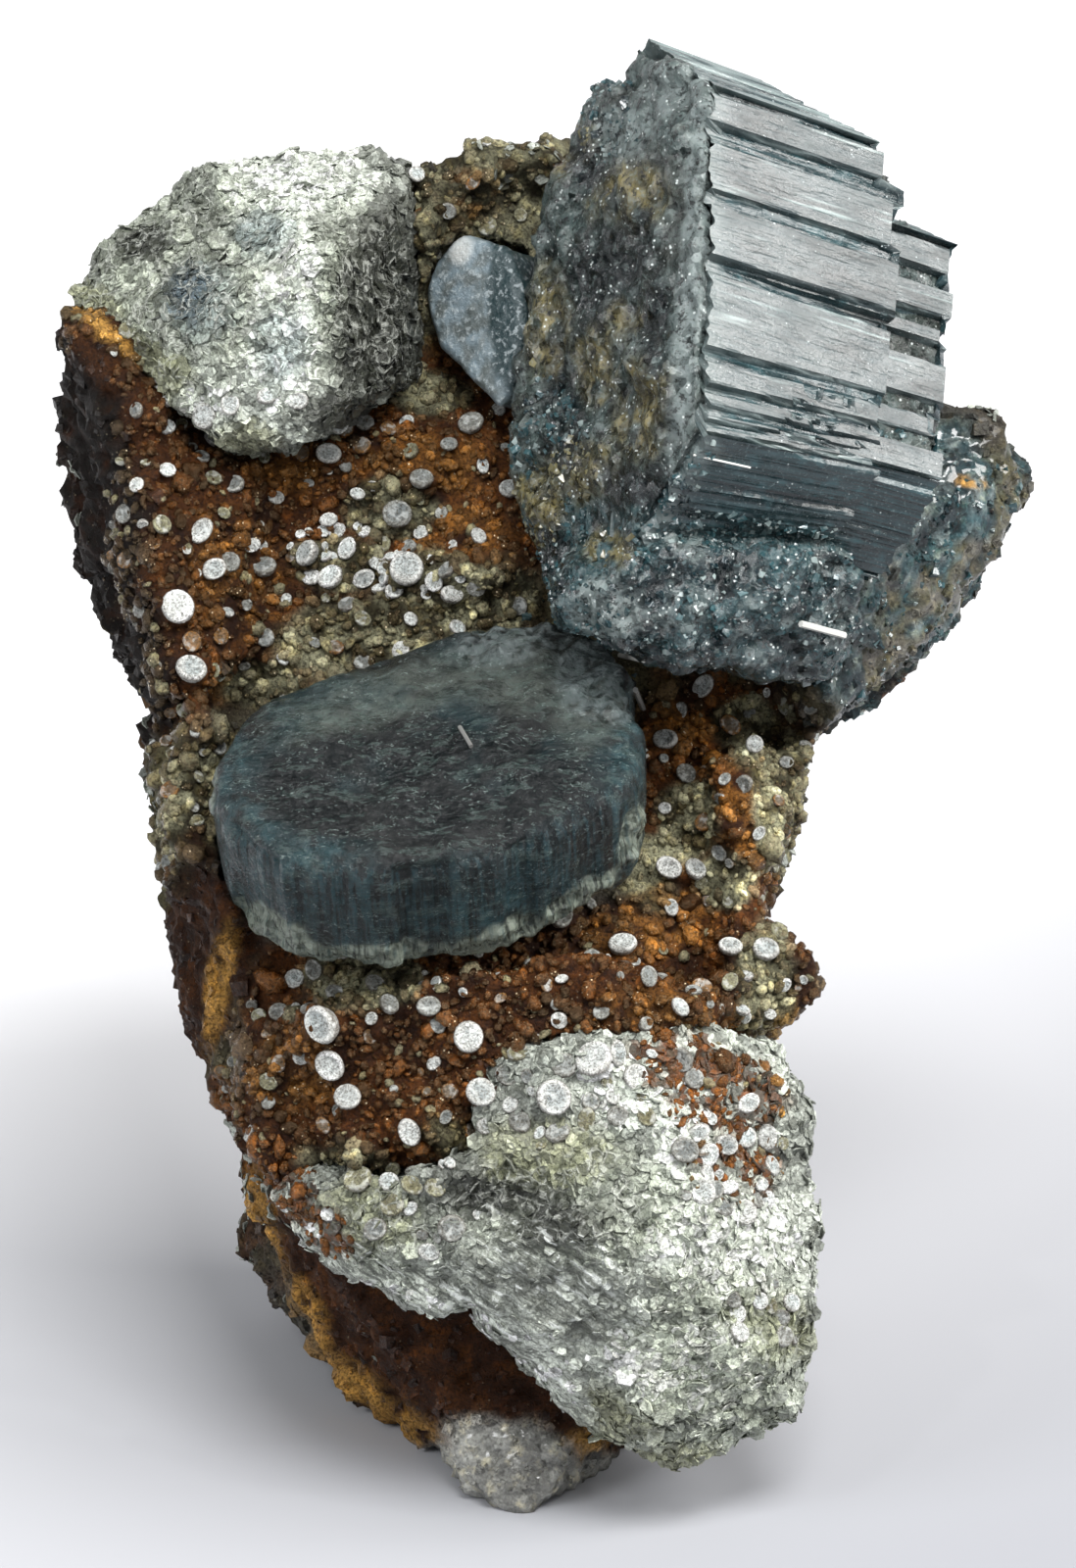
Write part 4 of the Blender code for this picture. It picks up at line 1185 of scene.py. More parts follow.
def make_druse():
    """Beads all over the rusty and olive parts of the rock."""
    pick = np.random.default_rng(5)
    rock = bpy.data.objects["rock"]
    pattern = make_bead_pattern()
    height = pattern[0][:, 2]
    finish = rock_finish("rusty_beads", 0.06, 0.75, 0.24, 0.26, (1, 0.72, 0.42), 0.9)
    shown = colours()
    places, normals = spread(rock, sizes().beads, pick, druse_share)
    on_mica, facing = spread(
        bpy.data.objects["lower_mica_core"], 1100, pick,
        lambda points, normals: within(seen_at(points), MICA_RUST, np.full(len(points), 0.5)),
    )
    size = np.repeat((1, 0.8), (len(places), len(on_mica)))
    places = np.concatenate((places, on_mica))
    normals = np.concatenate((normals, facing))
    radius = sizes().bead / MM * size * pick.lognormal(0, 0.42, len(places))
    discs = points_of(bpy.data.objects["rosettes"]).reshape(len(ROSETTES), -1, 3)
    middles = discs.mean(axis=1)
    reach = np.linalg.norm(discs - middles[:, None], axis=2).max(axis=1)
    kept = thinned(np.concatenate((middles, places)), np.concatenate((reach * 2, radius * 0.95)))
    kept = kept[kept >= len(middles)] - len(middles)
    places, normals, radius = places[kept], normals[kept], radius[kept]
    tilt = unit(normals + (0, 0.25, 0.6) + pick.normal(size=normals.shape) * 0.25)
    scales = np.stack((radius, radius * pick.uniform(0.55, 1, len(radius)), radius * 0.85), 1)
    turns = turned_to(tilt, scales, pick)
    spots = places - tilt * (radius * pick.uniform(0, 0.35, len(radius)))[:, None]
    tints = rock_tint(places)
    rusty = within(seen_at(places), MICA_RUST, np.full(len(places), 0.5))
    tints = blend(tints, shown["rust"], rusty) * pick.uniform(0.4, 2.1, (len(places), 1))
    pale = pick.random(len(places)) < 0.06
    tints[pale] = blend(tints[pale], shown["olive_pale"], 0.8)
    # Painted shade: each bead is painted darker towards its base, where it sits down in the druse.
    low = 0.3 + 0.7 * ramp(height, -0.5, 0.6)
    tints = np.clip(tints[:, None, :] * low[None, :, None], 0, 0.9)
    down = seen_at(places)[:, 1]
    for name, top, bottom in DRUSE_PARTS:
        part = (down >= top) & (down < bottom)
        druse = copies("druse_" + name, pattern, spots[part], turns[part], tints[part])
        shade(druse)
        dress(druse, finish)


def make_grit():
    """Angular grit and loose flakes of mica on the rock's flanks, back and underside."""
    pick = np.random.default_rng(17)
    rock = bpy.data.objects["rock"]

    def bare(points, normals):
        place = from_face(points)[:, 2] / MM
        return (1.02 - np.clip(druse_share(points, normals), 0, 1)) * ramp(place, 0.4, 1.2)

    places, normals = spread(rock, 8500, pick, bare)
    radius = pick.lognormal(math.log(0.27), 0.42, len(places))
    tilt = unit(normals + pick.normal(size=normals.shape) * 0.5)
    scales = np.stack((radius, radius * pick.uniform(0.5, 1.5, len(radius)), radius), 1)
    tints = rock_tint(places) * pick.uniform(0.5, 1.6, (len(places), 1))
    grit = copies(
        "flank_grit", make_chip_pattern(), places - normals * (radius * 0.25)[:, None],
        turned_to(tilt, scales, pick), np.clip(tints, 0, 0.9),
    )
    shade(grit, False)
    dress(grit, rock_finish("flank_rock", 0.25, 0.35, 0.3))
    front = DARK_SHADED_FLANK + BACK_SLAB + BACK_FLANK + FOOT + SHOULDER
    places, normals = spread(rock, 1500, pick, lambda points, normals: bare(points, normals) * ramp(
        clouds(points, 6, 14, 3), 0.52, 0.64) * ramp(-points[:, 2], 8, 14) * (1 - ramp(
            normals[:, 2], -0.2, 0.2) * within(seen_at(points), front, np.full(len(points), 0.5))) * (
                1 - within(seen_at(points), SHOULDER, np.full(len(points), 0.5))))
    radius = pick.uniform(0.2, 0.6, len(places))
    tilt = unit(normals + pick.normal(size=normals.shape) * 0.35)
    scales = np.stack((radius, radius * pick.uniform(0.6, 1, len(radius)), radius), 1)
    pattern = make_scale_pattern()
    flakes = copies("loose_flakes", pattern, places + tilt * 0.08, turned_to(tilt, scales, pick))
    tints = colours()["silver"] * pick.uniform(0.25, 0.9, (len(places), 1))
    paint_mica(flakes, points_of(flakes), np.repeat(tints, len(pattern[0]), axis=0))
    shade(flakes, False)
    dress(flakes, mica_finish("flake_mica", 0.5, 0.2))


# The rosettes of mica on the druse: place in the front view, radius in millimetres and kind.
ROSETTES = (
    (330, 1045, 1.5, "s"), (337, 1086, 1.2, "s"), (380, 1040, 0.5, "w"), (382, 1004, 0.75, "g"),
    (397, 1026, 0.85, "g"), (437, 1027, 0.9, "g"), (447, 1045, 0.7, "g"), (478, 1058, 1.15, "w"),
    (355, 1120, 1.0, "w"), (418, 1155, 1.05, "w"), (331, 1148, 0.7, "b"), (490, 1115, 1.1, "w"),
    (494, 1150, 0.7, "w"), (366, 1205, 1.1, "o"), (402, 1192, 0.7, "o"), (421, 1210, 0.9, "o"),
    (607, 1082, 1.4, "w"), (628, 1075, 1.0, "w"), (648, 1100, 1.0, "w"), (624, 1120, 0.6, "w"),
    (565, 1120, 1.3, "w"), (635, 965, 1.1, "w"), (662, 997, 0.8, "g"), (573, 1000, 0.5, "w"),
    (745, 967, 0.9, "w"), (781, 970, 1.0, "w"), (683, 885, 1.0, "w"), (709, 888, 0.9, "w"),
    (572, 935, 1.1, "g"), (635, 885, 1.0, "g"), (265, 1037, 0.6, "o"), (320, 990, 0.8, "g"),
    (342, 1015, 0.8, "g"), (757, 1032, 0.6, "w"), (785, 1035, 0.5, "w"), (205, 542, 1.05, "w"),
    (218, 580, 0.95, "w"), (270, 580, 0.95, "g"), (181, 620, 1.3, "s"), (195, 684, 1.2, "s"),
    (232, 626, 0.5, "w"), (225, 650, 0.7, "b"), (195, 655, 0.8, "b"), (140, 420, 0.7, "g"),
    (210, 425, 1.0, "w"), (235, 412, 0.9, "w"), (216, 450, 0.7, "w"), (272, 405, 0.9, "w"),
    (305, 410, 0.8, "w"), (346, 432, 0.75, "s"), (335, 463, 0.95, "s"), (308, 462, 0.7, "b"),
    (240, 495, 0.8, "g"), (430, 490, 0.9, "g"), (481, 433, 1.0, "g"), (458, 454, 0.65, "g"),
    (365, 505, 0.6, "w"), (405, 525, 1.1, "g"), (315, 565, 1.05, "s"), (338, 590, 1.0, "s"),
    (355, 560, 0.9, "s"), (370, 590, 0.9, "s"), (415, 582, 1.4, "s"), (402, 603, 0.7, "s"),
    (460, 608, 0.9, "w"), (420, 632, 0.6, "w"), (370, 632, 0.7, "o"), (520, 500, 0.8, "w"),
    (718, 700, 1.0, "w"), (680, 755, 1.0, "w"), (679, 825, 0.5, "w"), (745, 740, 0.9, "b"),
    (700, 790, 0.8, "g"), (760, 800, 0.8, "g"), (720, 840, 0.8, "b"), (770, 760, 0.7, "w"),
    (735, 870, 0.7, "g"), (695, 725, 0.7, "w"), (775, 850, 0.6, "w"), (745, 920, 0.7, "o"),
)


# Where small white rosettes crowd together.
SNOWY = ((345, 565, 50, 34, 20), (425, 590, 50, 26, 10), (620, 1110, 60, 30, -20))


def tree_of(obj):
    """The mesh of an object, ready to be looked at along a line of sight."""
    mesh = obj.data
    return BVHTree.FromPolygons(
        [corner.co for corner in mesh.vertices], [tuple(face.vertices) for face in mesh.polygons],
    )


def first_hit(trees, at):
    """The nearest point that the eye meets at a place of the front view, and its normal."""
    eye = FACE_STAND @ Vector((0, 0, EYE * MM))
    spot = Vector(((at[0] - VIEW_CENTRE[0]) / VIEW_UNITS, (VIEW_CENTRE[1] - at[1]) / VIEW_UNITS, 0))
    way = (FACE_STAND @ (spot * MM) - eye).normalized()
    hits = [hit for hit in (tree.ray_cast(eye, way) for tree in trees) if hit[0]]
    if not hits:
        raise RuntimeError(f"nothing is seen at {at}")
    point, normal, _, _ = min(hits, key=lambda hit: hit[3])
    return to_face(np.array(point)[None])[0], np.array(normal) @ FACE_TURN


# A rosette's rings, from its edge inwards: how wide each is and how far it is raised.
FINE_RINGS = ((0.07, 0.08), (0.09, 0.0), (0.10, -0.09), (0.34, 0.02))
PLAIN_RINGS = ((0.07, 0.08), (0.19, -0.09), (0.34, 0.02))


def make_rosette_pattern(sides, rings):
    """A mica rosette: a flat disc with a raised rim and a small dimple at its heart."""
    bpy.ops.object.select_all(action="DESELECT")
    bpy.ops.mesh.primitive_circle_add(vertices=sides, radius=0.9, fill_type="NGON")
    disc = bpy.context.object
    work = bmesh.new()
    work.from_mesh(disc.data)
    face = work.faces[:][0]
    for thickness, depth in rings:
        bmesh.ops.inset_individual(work, faces=[face], thickness=thickness, depth=0)
        bmesh.ops.translate(work, verts=face.verts[:], vec=(0, 0, depth))
    work.to_mesh(disc.data)
    work.free()
    only(disc)
    bpy.ops.object.mode_set(mode="EDIT")
    bpy.ops.mesh.select_all(action="SELECT")
    bpy.ops.mesh.select_mode(type="EDGE")
    bpy.ops.mesh.select_all(action="DESELECT")
    bpy.ops.mesh.select_non_manifold()
    bpy.ops.mesh.extrude_region_move(TRANSFORM_OT_translate={"value": (0, 0, -0.25)})
    bpy.ops.transform.resize(value=(1.1, 1.1, 1))
    bpy.ops.mesh.extrude_region_move(TRANSFORM_OT_translate={"value": (0, 0, -0.6)})
    bpy.ops.transform.resize(value=(0.8, 0.8, 1))
    bpy.ops.mesh.edge_face_add()
    bpy.ops.object.mode_set(mode="OBJECT")
    return pattern_from(disc)


def rosette_finish():
    finish = Finish("rosette_mica")
    fine = finish.noise(0.14, 4, rough=0.7)
    blotch = finish.noise(0.5, 3)
    tint = finish.attribute("tint").outputs["Color"]
    colour = finish.mix(fine.rise(0.56, 0.40) * 0.7, tint, (0.08, 0.07, 0.05))
    colour = finish.mix(blotch.rise(0.5, 0.65) * 0.4, colour, (0.75, 0.77, 0.74))
    finish.set(
        Base_Color=colour, Roughness=0.2, Normal=finish.facets(0.2, 0.35, finish.bump(fine, 0.25)),
    )
    return finish.material


def rosette_piece(name, pattern, finish, pick, spots, facings, radii, kinds):
    """Rosettes of the five kinds as one piece."""
    shown = colours()
    reach = np.hypot(pattern[0][:, 0], pattern[0][:, 1])
    facings = unit(facings)
    scales = np.stack((radii, radii * pick.uniform(0.68, 1, len(radii)), radii * 0.75), 1)
    turns = turned_to(facings, scales, pick)
    rims = {"w": shown["pearl"] * 1.15, "g": shown["quartz"] * 1.4, "b": shown["rust_bright"] * 0.9,
            "o": shown["olive_pale"] * 1.4, "s": shown["pearl"] * 1.4}
    hearts = {"w": shown["slate"] * 2.2, "g": shown["slate"] * 0.9, "b": shown["stone"],
              "o": shown["olive"] * 1.3, "s": shown["slate"] * 2.8}
    angle = np.arctan2(pattern[0][:, 1], pattern[0][:, 0])
    tints = []
    for kind in kinds:
        uneven = np.sin(angle + pick.uniform(0, 6)) * 0.5 + np.sin(2 * angle + pick.uniform(0, 6)) * 0.5
        rim = rims[kind] * pick.uniform(0.7, 1.1) * (1 + 0.3 * uneven[:, None])
        heart = ramp(-reach + uneven * 0.12, -0.84, -0.55) * pick.uniform(0.3, 0.95)
        tint = blend(rim, hearts[kind] * pick.uniform(0.7, 1.6), heart)
        tint = blend(tint, shown["rust"] * 0.5, ramp(reach, 0.95, 1.02) * (pattern[0][:, 2] < -0.1))
        tints.append(tint)
    piece = copies(
        name, pattern, spots + facings * (radii * 0.3 + 0.1)[:, None], turns,
        np.clip(np.array(tints), 0, 0.95),
    )
    shade(piece)
    dress(piece, finish)


def make_rosettes():
    """The large rosettes at their own places and small ones among them."""
    pick = np.random.default_rng(8)
    finish = rosette_finish()
    trees = [tree_of(bpy.data.objects[name]) for name in ("rock", "lower_mica_core", "upper_mica_core")]
    spots, facings, radii, kinds = [], [], [], []
    for x, y, radius, kind in ROSETTES:
        spot, normal = first_hit(trees, (x, y))
        spots.append(spot)
        facings.append(normal * 0.5 + (0, 0.3, 0.7) + pick.normal(size=3) * 0.3)
        radii.append(radius * 0.92)
        kinds.append(kind)
    spots, radii = np.array(spots), np.array(radii)
    fine = make_rosette_pattern(18, FINE_RINGS)
    rosette_piece("rosettes", fine, finish, pick, spots, np.array(facings), radii, kinds)
    places, normals = spread(bpy.data.objects["rock"], 480, pick, druse_share)
    on_mica, facing = spread(
        bpy.data.objects["lower_mica_core"], 380, pick,
        lambda points, normals: within(seen_at(points), MICA_ROSETTES, np.full(len(points), 0.5)),
    )
    small_kinds = np.concatenate((
        pick.choice(list("wwggbo"), len(places)), pick.choice(list("wggsso"), len(on_mica)),
    ))
    snowy, outward = spread(
        bpy.data.objects["rock"], 340, pick,
        lambda points, normals: within(
            seen_at(points), SNOWY, np.full(len(points), 0.5)) * druse_share(points, normals),
    )
    small_kinds = np.concatenate((small_kinds, np.full(len(snowy), "s")))
    places = np.concatenate((places, on_mica, snowy))
    normals = np.concatenate((normals, facing, outward)) * 0.7 + (0, 0.2, 0.5)
    normals = unit(normals + pick.normal(size=normals.shape) * 0.2)
    small = pick.uniform(0.3, 0.75, len(places))
    mica_part = slice(len(places) - len(snowy) - len(on_mica), len(places) - len(snowy))
    small[mica_part] *= 1.3
    room = np.concatenate((radii * 2, small * 2))
    room[len(radii):][mica_part] *= 0.7
    room[len(room) - len(snowy):] *= 0.55
    kept = thinned(np.concatenate((spots, places)), room)
    kept = kept[kept >= len(spots)] - len(spots)
    plain_one = make_rosette_pattern(11, PLAIN_RINGS)
    rosette_piece(
        "small_rosettes", plain_one, finish, pick, places[kept], normals[kept], small[kept],
        small_kinds[kept],
    )


# Regions of the two mica masses.
MICA_BRIGHT = ((290, 190, 70, 34, 0), (290, 320, 40, 90, 0), (340, 180, 40, 30, 0), (215, 415, 30, 26, 0),
               (740, 1270, 80, 60, 0), (430, 1320, 130, 14, 24), (330, 1270, 80, 12, 40),
              (690, 1390, 80, 50, 0),
               (700, 1130, 40, 60, 0), (620, 1110, 40, 40, 0), (560, 1400, 24, 70, -30))
MICA_DARK = ((390, 320, 60, 110, 0), (350, 420, 50, 24, 0), (190, 300, 26, 30, 0), (150, 250, 30, 20, 0),
             (500, 1215, 70, 30, 0), (560, 1250, 50, 24, 0), (545, 1410, 16, 50, -40))
MICA_OLIVE = ((150, 370, 90, 22, 38), (230, 440, 50, 20, 10), (100, 310, 30, 16, 30),
              (780, 1350, 50, 40, 0), (380, 1240, 50, 40, 0), (690, 1490, 50, 20, 0),
              (560, 1175, 70, 34, 0), (620, 1440, 60, 30, 0))
MICA_BLUE = ((205, 310, 34, 34, 0), (265, 240, 30, 24, 0), (290, 350, 30, 40, 0))
MICA_RUST = ((740, 1120, 60, 40, 0), (690, 1080, 50, 30, 0), (750, 1190, 44, 36, 0),
             (280, 1200, 50, 30, 30), (330, 1250, 40, 20, 50))
MICA_FOAM = ((180, 280, 110, 110, 0), (370, 300, 60, 90, 0), (600, 1230, 140, 60, 0),
             (740, 1390, 90, 110, 0), (400, 1250, 60, 50, 0))
MICA_ROSETTES = ((560, 1125, 110, 50, 0), (470, 1170, 60, 40, -30), (400, 1230, 80, 50, 10), (650, 1090, 70, 30, 0),
                 (740, 1180, 60, 60, 0), (780, 1340, 50, 40, 0))
MICA_STREAKED = ((430, 1320, 150, 34, 24), (560, 1310, 90, 60, 30), (540, 1420, 50, 90, -35))
STREAK = (0.82, -0.57, 0.0)


def mica_tint(points):
    shown = colours()
    seen = seen_at(points)
    coarse, fine = clouds(points, 3.0, 51, 2), clouds(points, 0.9, 52, 2)
    edge = clouds(points, 2.0, 53, 2)
    tint = blend(shown["silver"] * 0.45, shown["silver"] * 0.95, ramp(coarse, 0.3, 0.7))
    tint = blend(tint, shown["silver_dark"] * 0.25, within(seen, MICA_DARK, edge, 0.9) * 0.95)
    tint = blend(tint, shown["olive_pale"] * (1.35, 1.4, 1.35), within(seen, MICA_OLIVE, edge, 0.6) * 0.8)
    tint = blend(tint, shown["silver"] * 1.4, within(seen, MICA_BRIGHT, edge, 0.9))
    tint = blend(tint, shown["slate"] * (1.2, 1.6, 2.2), within(seen, MICA_BLUE, edge, 0.9) * 0.4)
    rust = blend(shown["rust_dark"], shown["rust"] * 1.3, ramp(fine, 0.3, 0.7))
    rusty = within(seen, MICA_RUST, edge, 0.4) * ramp(fine, 0.30, 0.45)
    tint = blend(tint, rust, rusty * (1 - 0.8 * ramp(clouds(points, 1.3, 55, 2), 0.54, 0.60)))
    behind = ramp(-points[:, 2], 10, 20)
    return blend(tint, shown["silver_dark"] * 1.3, behind * 0.6)


def paint_mica(obj, points, tint):
    """Stores the mica's tint, with its foam, and the way its leaves run, with their streaks."""
    seen = seen_at(points)
    edge = clouds(points, 2.0, 54, 2)
    paint(obj, "tint", np.clip(tint, 0, 0.92), within(seen, MICA_FOAM, edge, 0.8))
    way = np.array(STREAK)
    along = points @ way
    grain = points - way * (along * 0.88)[:, None]
    paint(obj, "grain", grain, within(seen, MICA_STREAKED, edge, 0.8))


def mica_finish(name, size, tilt):
    """Silvery mica: a crowd of tiny leaves, foamy in some places and streaked in others."""
    finish = Finish(name)
    painted, laid = finish.attribute("tint"), finish.attribute("grain")
    tint, foam = painted.outputs["Color"], Level(finish, painted.outputs["Alpha"])
    grain, streak = laid.outputs["Vector"], Level(finish, laid.outputs["Alpha"])
    fine = finish.noise(0.2, 4, rough=0.65)
    lines = finish.noise(0.45, 4, grain, 0.65)
    leaf = finish.shade_of(size)
    sway = finish.noise(0.8, 3)
    cups = finish.gaps(0.85, finish.vector("ADD", finish.place, sway * 0.7))
    cups = cups * finish.noise(1.4, 3).rise(0.38, 0.6)
    colour = finish.mix(leaf.rise(0.5, 0.0) * 0.6, tint, (0.07, 0.075, 0.058))
    colour = finish.mix(finish.gaps(size) * 0.4, colour, (0.03, 0.032, 0.024))
    colour = finish.mix(fine.rise(0.55, 0.3) * 0.55, colour, (0.07, 0.075, 0.058))
    colour = finish.mix(foam * 0.8, colour, (0.6, 0.62, 0.55), "MULTIPLY")
    colour = finish.mix(foam * cups * 0.45, colour, (0.60, 0.62, 0.56))
    colour = finish.mix(streak * lines.rise(0.52, 0.40) * 0.8, colour, (0.05, 0.055, 0.045))
    colour = finish.mix(streak * lines.rise(0.55, 0.66) * 0.8, colour, (0.72, 0.75, 0.72))
    relief = finish.bump(fine * 0.6 + cups * foam * 0.4 + lines * streak, 0.2)
    finish.set(
        Base_Color=colour, Roughness=0.16 + fine * 0.25, Metallic=0.2,
        Normal=finish.facets(size, tilt - streak * (tilt * 0.7), relief),
    )
    return finish.material


def make_scale_pattern():
    """A mica scale: a thin six-sided leaf."""
    bpy.ops.object.select_all(action="DESELECT")
    bpy.ops.mesh.primitive_cylinder_add(vertices=6, radius=1, depth=0.16)
    leaf = bpy.context.object
    return pattern_from(leaf)


def make_mica(node, name, seed):
    """One mica mass: a core under thousands of small scales."""
    pick = np.random.default_rng(seed)
    core = copy_of(node, name + "_core")
    apply(core, "REMESH", mode="VOXEL", voxel_size=0.4 * MM)
    relief(core, "CLOUDS", 3.5, 2.0)
    relief(core, "VORONOI", 1.7, 0.8)
    relief(core, "CLOUDS", 0.8, 0.4)
    points = points_of(core)
    paint_mica(core, points, mica_tint(points) * 0.9)
    shade(core)
    dress(core, mica_finish(name + "_ground", 0.42, 0.4))
    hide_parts(node)
    places, normals = spread(
        core, sizes().scales, pick,
        lambda points, facing: (0.2 + ramp(facing[:, 2], -0.4, 0.4)) * (
            1 - 0.85 * within(seen_at(points), MICA_STREAKED, np.full(len(points), 0.5))),
    )
    radius = sizes().scale / MM * pick.lognormal(0, 0.35, len(places))
    tilt = unit(normals + pick.normal(size=normals.shape) * 0.27)
    scales = np.stack((radius, radius * pick.uniform(0.6, 1, len(radius)), radius), 1)
    tints = mica_tint(places) * pick.uniform(0.5, 1.5, (len(places), 1))
    pattern = make_scale_pattern()
    leaves = copies(
        name + "_scales", pattern, places + tilt * 0.05, turned_to(tilt, scales, pick),
    )
    paint_mica(leaves, points_of(leaves), np.repeat(tints, len(pattern[0]), axis=0))
    shade(leaves, False)
    dress(leaves, mica_finish(name + "_leaves", 0.5, 0.2))


# Tiny pale bars and flakes that lie loose on the surface: the two ends in the front view, and width, in
# millimetres.
BARS = (
    ((633, 671), (657, 676), 0.4), ((815, 633), (860, 645), 0.45), ((706, 461), (764, 474), 0.14),
    ((469, 744), (481, 764), 0.3), ((646, 703), (654, 722), 0.4),
)


def make_bars():
    """Slender six-sided bars lying on the crystals."""
    shown = colours()
    trees = [
        tree_of(bpy.data.objects[name])
        for name in ("large_prism", "corroded_end", "middle_crystal", "rock")
    ]
    bpy.ops.object.select_all(action="DESELECT")
    bpy.ops.mesh.primitive_cylinder_add(vertices=6, radius=0.5, depth=1)
    pattern = pattern_from(bpy.context.object)
    spots, turns = [], []
    for start, end, width in BARS:
        places = [np.add(start, np.subtract(end, start) * share) for share in (0, 0.25, 0.5, 0.75, 1)]
        hits = [first_hit(trees, at) for at in places]
        ends = [hits[0][0], hits[-1][0]]
        normal = hits[0][1]
        along = ends[1] - ends[0]
        length = np.linalg.norm(along)
        along = along / length
        across = unit(np.cross(along, normal))
        lift = np.cross(across, along)
        lift = lift if lift[2] > 0 else -lift
        turns.append(np.stack((across * width, np.cross(along, across) * width, along * length), 1))
        proud = max((spot - ends[0]) @ lift for spot, _ in hits)
        spots.append((ends[0] + ends[1]) / 2 + lift * (width * 0.4 + proud * 0.8))
    tints = shown["pearl"] * np.array((0.9, 0.7, 0.9, 0.2, 0.5))[:, None]
    bars = copies("loose_bars", pattern, np.array(spots), np.array(turns), tints)
    shade(bars, False)
    finish = Finish("clear_bar")
    finish.set(
        Base_Color=finish.attribute("tint").outputs["Color"], Roughness=0.15,
        Normal=finish.bump(finish.noise(0.2, 3), 0.05),
    )
    dress(bars, finish.material)


# The stage.

def make_floor():
    bpy.ops.object.select_all(action="DESELECT")
    bpy.ops.mesh.primitive_plane_add(size=4, location=(0, 0, 0))
    floor = bpy.context.object
    floor.name = "floor"
    bpy.ops.object.mode_set(mode="EDIT")
    bpy.ops.mesh.select_mode(type="EDGE")
    bpy.ops.mesh.select_all(action="DESELECT")
    bpy.ops.object.mode_set(mode="OBJECT")
    for edge in floor.data.edges:
        edge.select = all(floor.data.vertices[i].co.y > 1 for i in edge.vertices)
    bpy.ops.object.mode_set(mode="EDIT")
    bpy.ops.mesh.extrude_region_move(TRANSFORM_OT_translate={"value": (0, 0.4, 2)})
    bpy.ops.object.mode_set(mode="OBJECT")
    finish = Finish("pale_floor")
    parts = finish.add("ShaderNodeSeparateXYZ", {}, {"Vector": finish.place})
    across, away = (Level(finish, parts.outputs[side]) for side in "XY")
    # Painted shade: the floor is painted darker towards the near side and towards the right, and near white far
    # back.
    far = (away - across * 0.8).rise(-90, 255)
    colour = finish.mix(far, (0.275, 0.28, 0.302), (0.93, 0.93, 0.94))
    finish.set(Base_Color=colour, Roughness=0.7, Specular_IOR_Level=0.2)
    floor.data.materials.append(finish.material)


def add_light(name, at, aim, size, power, colour=(1, 1, 1)):
    """A soft square light. Its place and aim are in the face frame, in millimetres."""
    data = bpy.data.lights.new(name, "AREA")
    data.shape = "RECTANGLE"
    data.size, data.size_y = size[0] * MM, size[1] * MM
    data.energy = power
    data.color = colour
    lamp = bpy.data.objects.new(name, data)
    bpy.context.scene.collection.objects.link(lamp)
    start, end = (Vector(from_face(np.array([place], float))[0]) for place in (at, aim))
    lamp.matrix_world = Matrix.Translation(start) @ (
        (end - start).to_track_quat("-Z", "Y").to_matrix().to_4x4()
    )


def make_stage():
    make_floor()
    add_light("key", (500, 264, 268), (5, 5, 0), (340, 300), 5, (1, 0.985, 0.96))
    add_light("front", (110, 440, 540), (0, 0, 0), (300, 240), 6)
    add_light("left_fill", (-420, 160, 380), (0, 0, 0), (220, 220), 1.6, (0.96, 0.98, 1))
    add_light("glint_right", (260, 420, 420), (0, 0, 0), (26, 26), 0.3)
    add_light("glint_left", (-230, 330, 480), (0, 0, 0), (26, 26), 0.25)
    world = bpy.data.worlds.new("studio")
    world.use_nodes = True
    back = world.node_tree.nodes["Background"]
    back.inputs["Color"].default_value = (0.97, 0.975, 1.0, 1)
    back.inputs["Strength"].default_value = 0.45
    bpy.context.scene.world = world
    view = bpy.data.cameras.new("view")
    view.sensor_fit = "VERTICAL"
    view.sensor_height = 24
    view.lens = 24 * EYE / VIEW_HEIGHT
    view.clip_start = 0.01
    camera = bpy.data.objects.new("view", view)
    camera.matrix_world = FACE_STAND @ Matrix.Translation((0, 0, EYE * MM))
    bpy.context.scene.collection.objects.link(camera)
    bpy.context.scene.camera = camera
    bpy.context.scene.view_settings.view_transform = "Standard"
    bpy.context.scene.view_settings.look = "None"


class SPECIMEN_OT_stage(bpy.types.Operator):
    """Add the pale floor, the soft lights and the camera"""

    bl_idname = "specimen.stage"
    bl_label = "Stage"

    def execute(self, context):
        make_stage()
        return {"FINISHED"}


class SPECIMEN_OT_rock(bpy.types.Operator):
    """Add the rusty matrix"""

    bl_idname = "specimen.rock"
    bl_label = "Matrix"

    def execute(self, context):
        make_rock()
        return {"FINISHED"}


class SPECIMEN_OT_druse(bpy.types.Operator):
    """Add the beads of the druse on the matrix"""

    bl_idname = "specimen.druse"
    bl_label = "Druse beads"

    def execute(self, context):
        make_druse()
        make_grit()
        return {"FINISHED"}


class SPECIMEN_OT_rosettes(bpy.types.Operator):
    """Add the mica rosettes that grow on the druse"""

    bl_idname = "specimen.rosettes"
    bl_label = "Mica rosettes"

    def execute(self, context):
        make_rosettes()
        return {"FINISHED"}


class SPECIMEN_OT_mica(bpy.types.Operator):
    """Add both masses of mica with their scales"""

    bl_idname = "specimen.mica"
    bl_label = "Mica masses"

    def execute(self, context):
        make_mica("upper_mica", "upper_mica", 61)
        make_mica("lower_mica", "lower_mica", 62)
        return {"FINISHED"}


class SPECIMEN_OT_large_crystal(bpy.types.Operator):
    """Add the large striated crystal with its corroded end"""

    bl_idname = "specimen.large_crystal"
    bl_label = "Large crystal"

    def execute(self, context):
        make_large_rough()
        make_prisms()
        return {"FINISHED"}


class SPECIMEN_OT_chips(bpy.types.Operator):
    """Add the glassy chips on the broken apatite"""

    bl_idname = "specimen.chips"
    bl_label = "Apatite chips"

    def execute(self, context):
        make_chips()
        return {"FINISHED"}


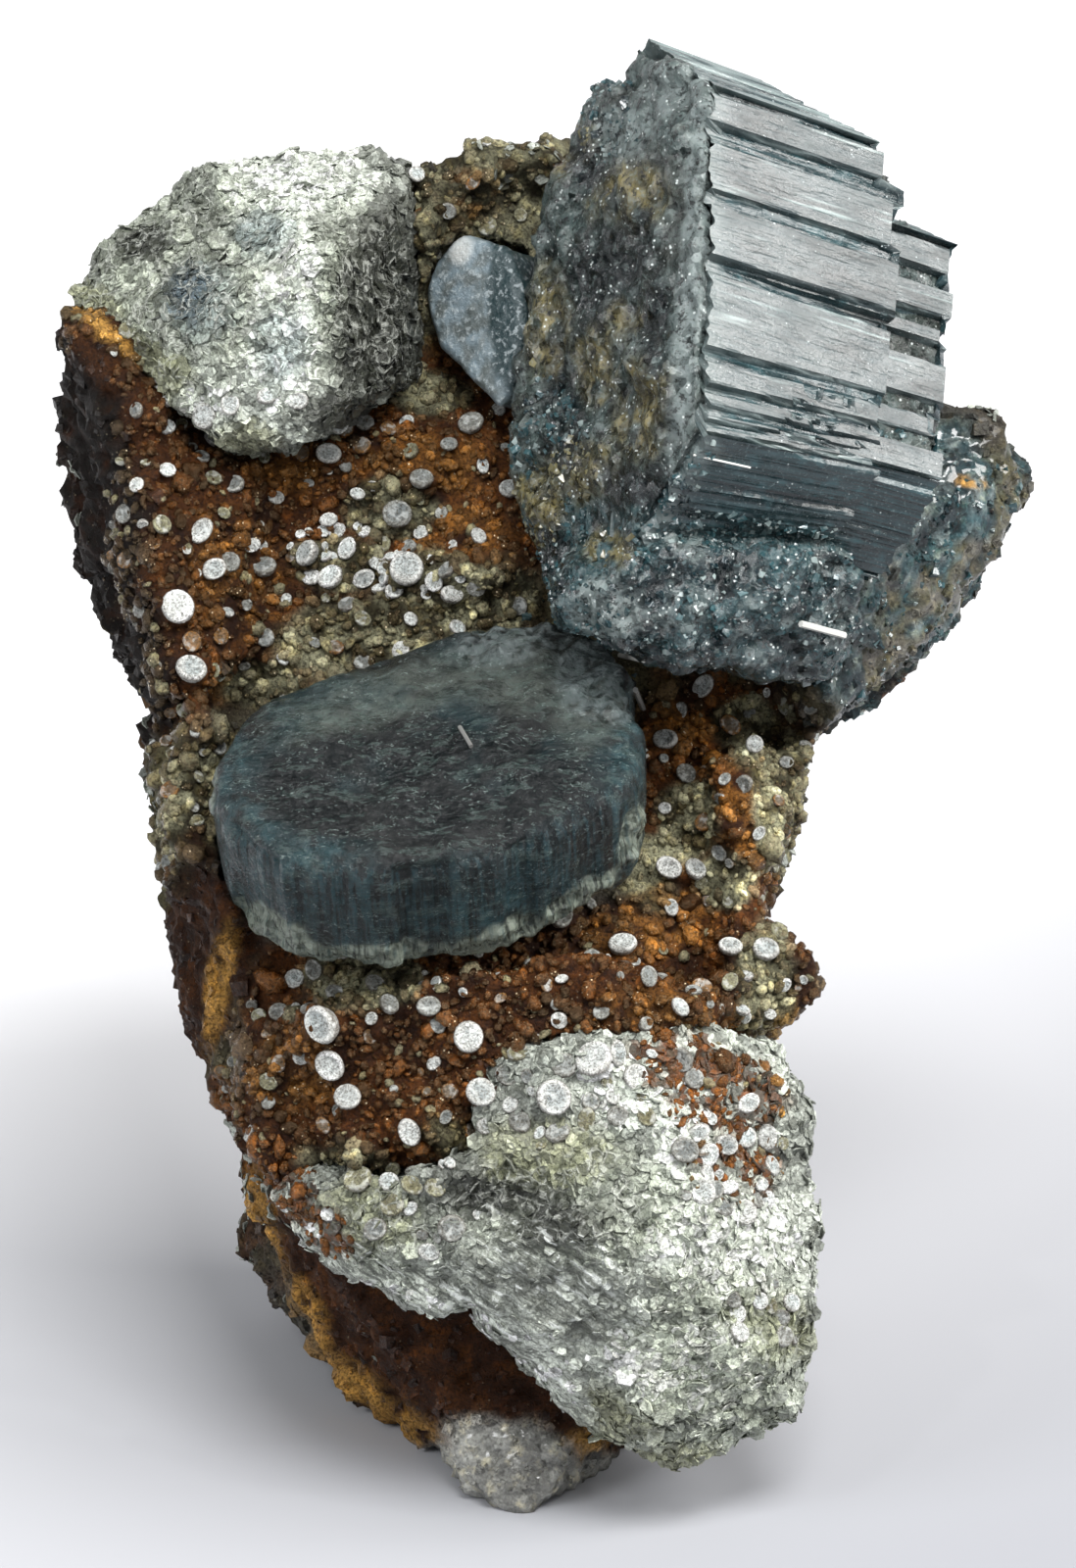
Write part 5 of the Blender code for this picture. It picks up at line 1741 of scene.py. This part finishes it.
class SPECIMEN_OT_middle_crystal(bpy.types.Operator):
    """Add the middle crystal"""

    bl_idname = "specimen.middle_crystal"
    bl_label = "Middle crystal"

    def execute(self, context):
        make_middle_crystal()
        return {"FINISHED"}


class SPECIMEN_OT_small_crystal(bpy.types.Operator):
    """Add the small pale crystal"""

    bl_idname = "specimen.small_crystal"
    bl_label = "Small crystal"

    def execute(self, context):
        make_small_crystal()
        return {"FINISHED"}


class SPECIMEN_OT_bars(bpy.types.Operator):
    """Add the tiny loose bars on the crystals"""

    bl_idname = "specimen.bars"
    bl_label = "Loose bars"

    def execute(self, context):
        make_bars()
        return {"FINISHED"}


STEPS = (
    SPECIMEN_OT_stage, SPECIMEN_OT_rock, SPECIMEN_OT_mica, SPECIMEN_OT_rosettes,
    SPECIMEN_OT_druse, SPECIMEN_OT_large_crystal, SPECIMEN_OT_chips,
    SPECIMEN_OT_middle_crystal, SPECIMEN_OT_small_crystal, SPECIMEN_OT_bars,
)


class SPECIMEN_PT_pieces(bpy.types.Panel):
    """The steps that dress the specimen, in order"""

    bl_label = "Fluorapatite specimen"
    bl_space_type = "VIEW_3D"
    bl_region_type = "UI"
    bl_category = "Specimen"

    def draw(self, context):
        for step in STEPS:
            self.layout.operator(step.bl_idname)
        for group in (context.scene.specimen_sizes, context.scene.specimen_colours):
            for name in group.__annotations__:
                self.layout.prop(group, name)


CLASSES = (SpecimenColours, SpecimenSizes, *STEPS, SPECIMEN_PT_pieces)


def register():
    for item in CLASSES:
        bpy.utils.register_class(item)
    bpy.types.Scene.specimen_colours = bpy.props.PointerProperty(type=SpecimenColours)
    bpy.types.Scene.specimen_sizes = bpy.props.PointerProperty(type=SpecimenSizes)


def unregister():
    del bpy.types.Scene.specimen_sizes
    del bpy.types.Scene.specimen_colours
    for item in reversed(CLASSES):
        bpy.utils.unregister_class(item)


def main():
    register()
    for step in STEPS:
        group, name = step.bl_idname.split(".")
        getattr(getattr(bpy.ops, group), name)()


if __name__ == "__main__":
    main()
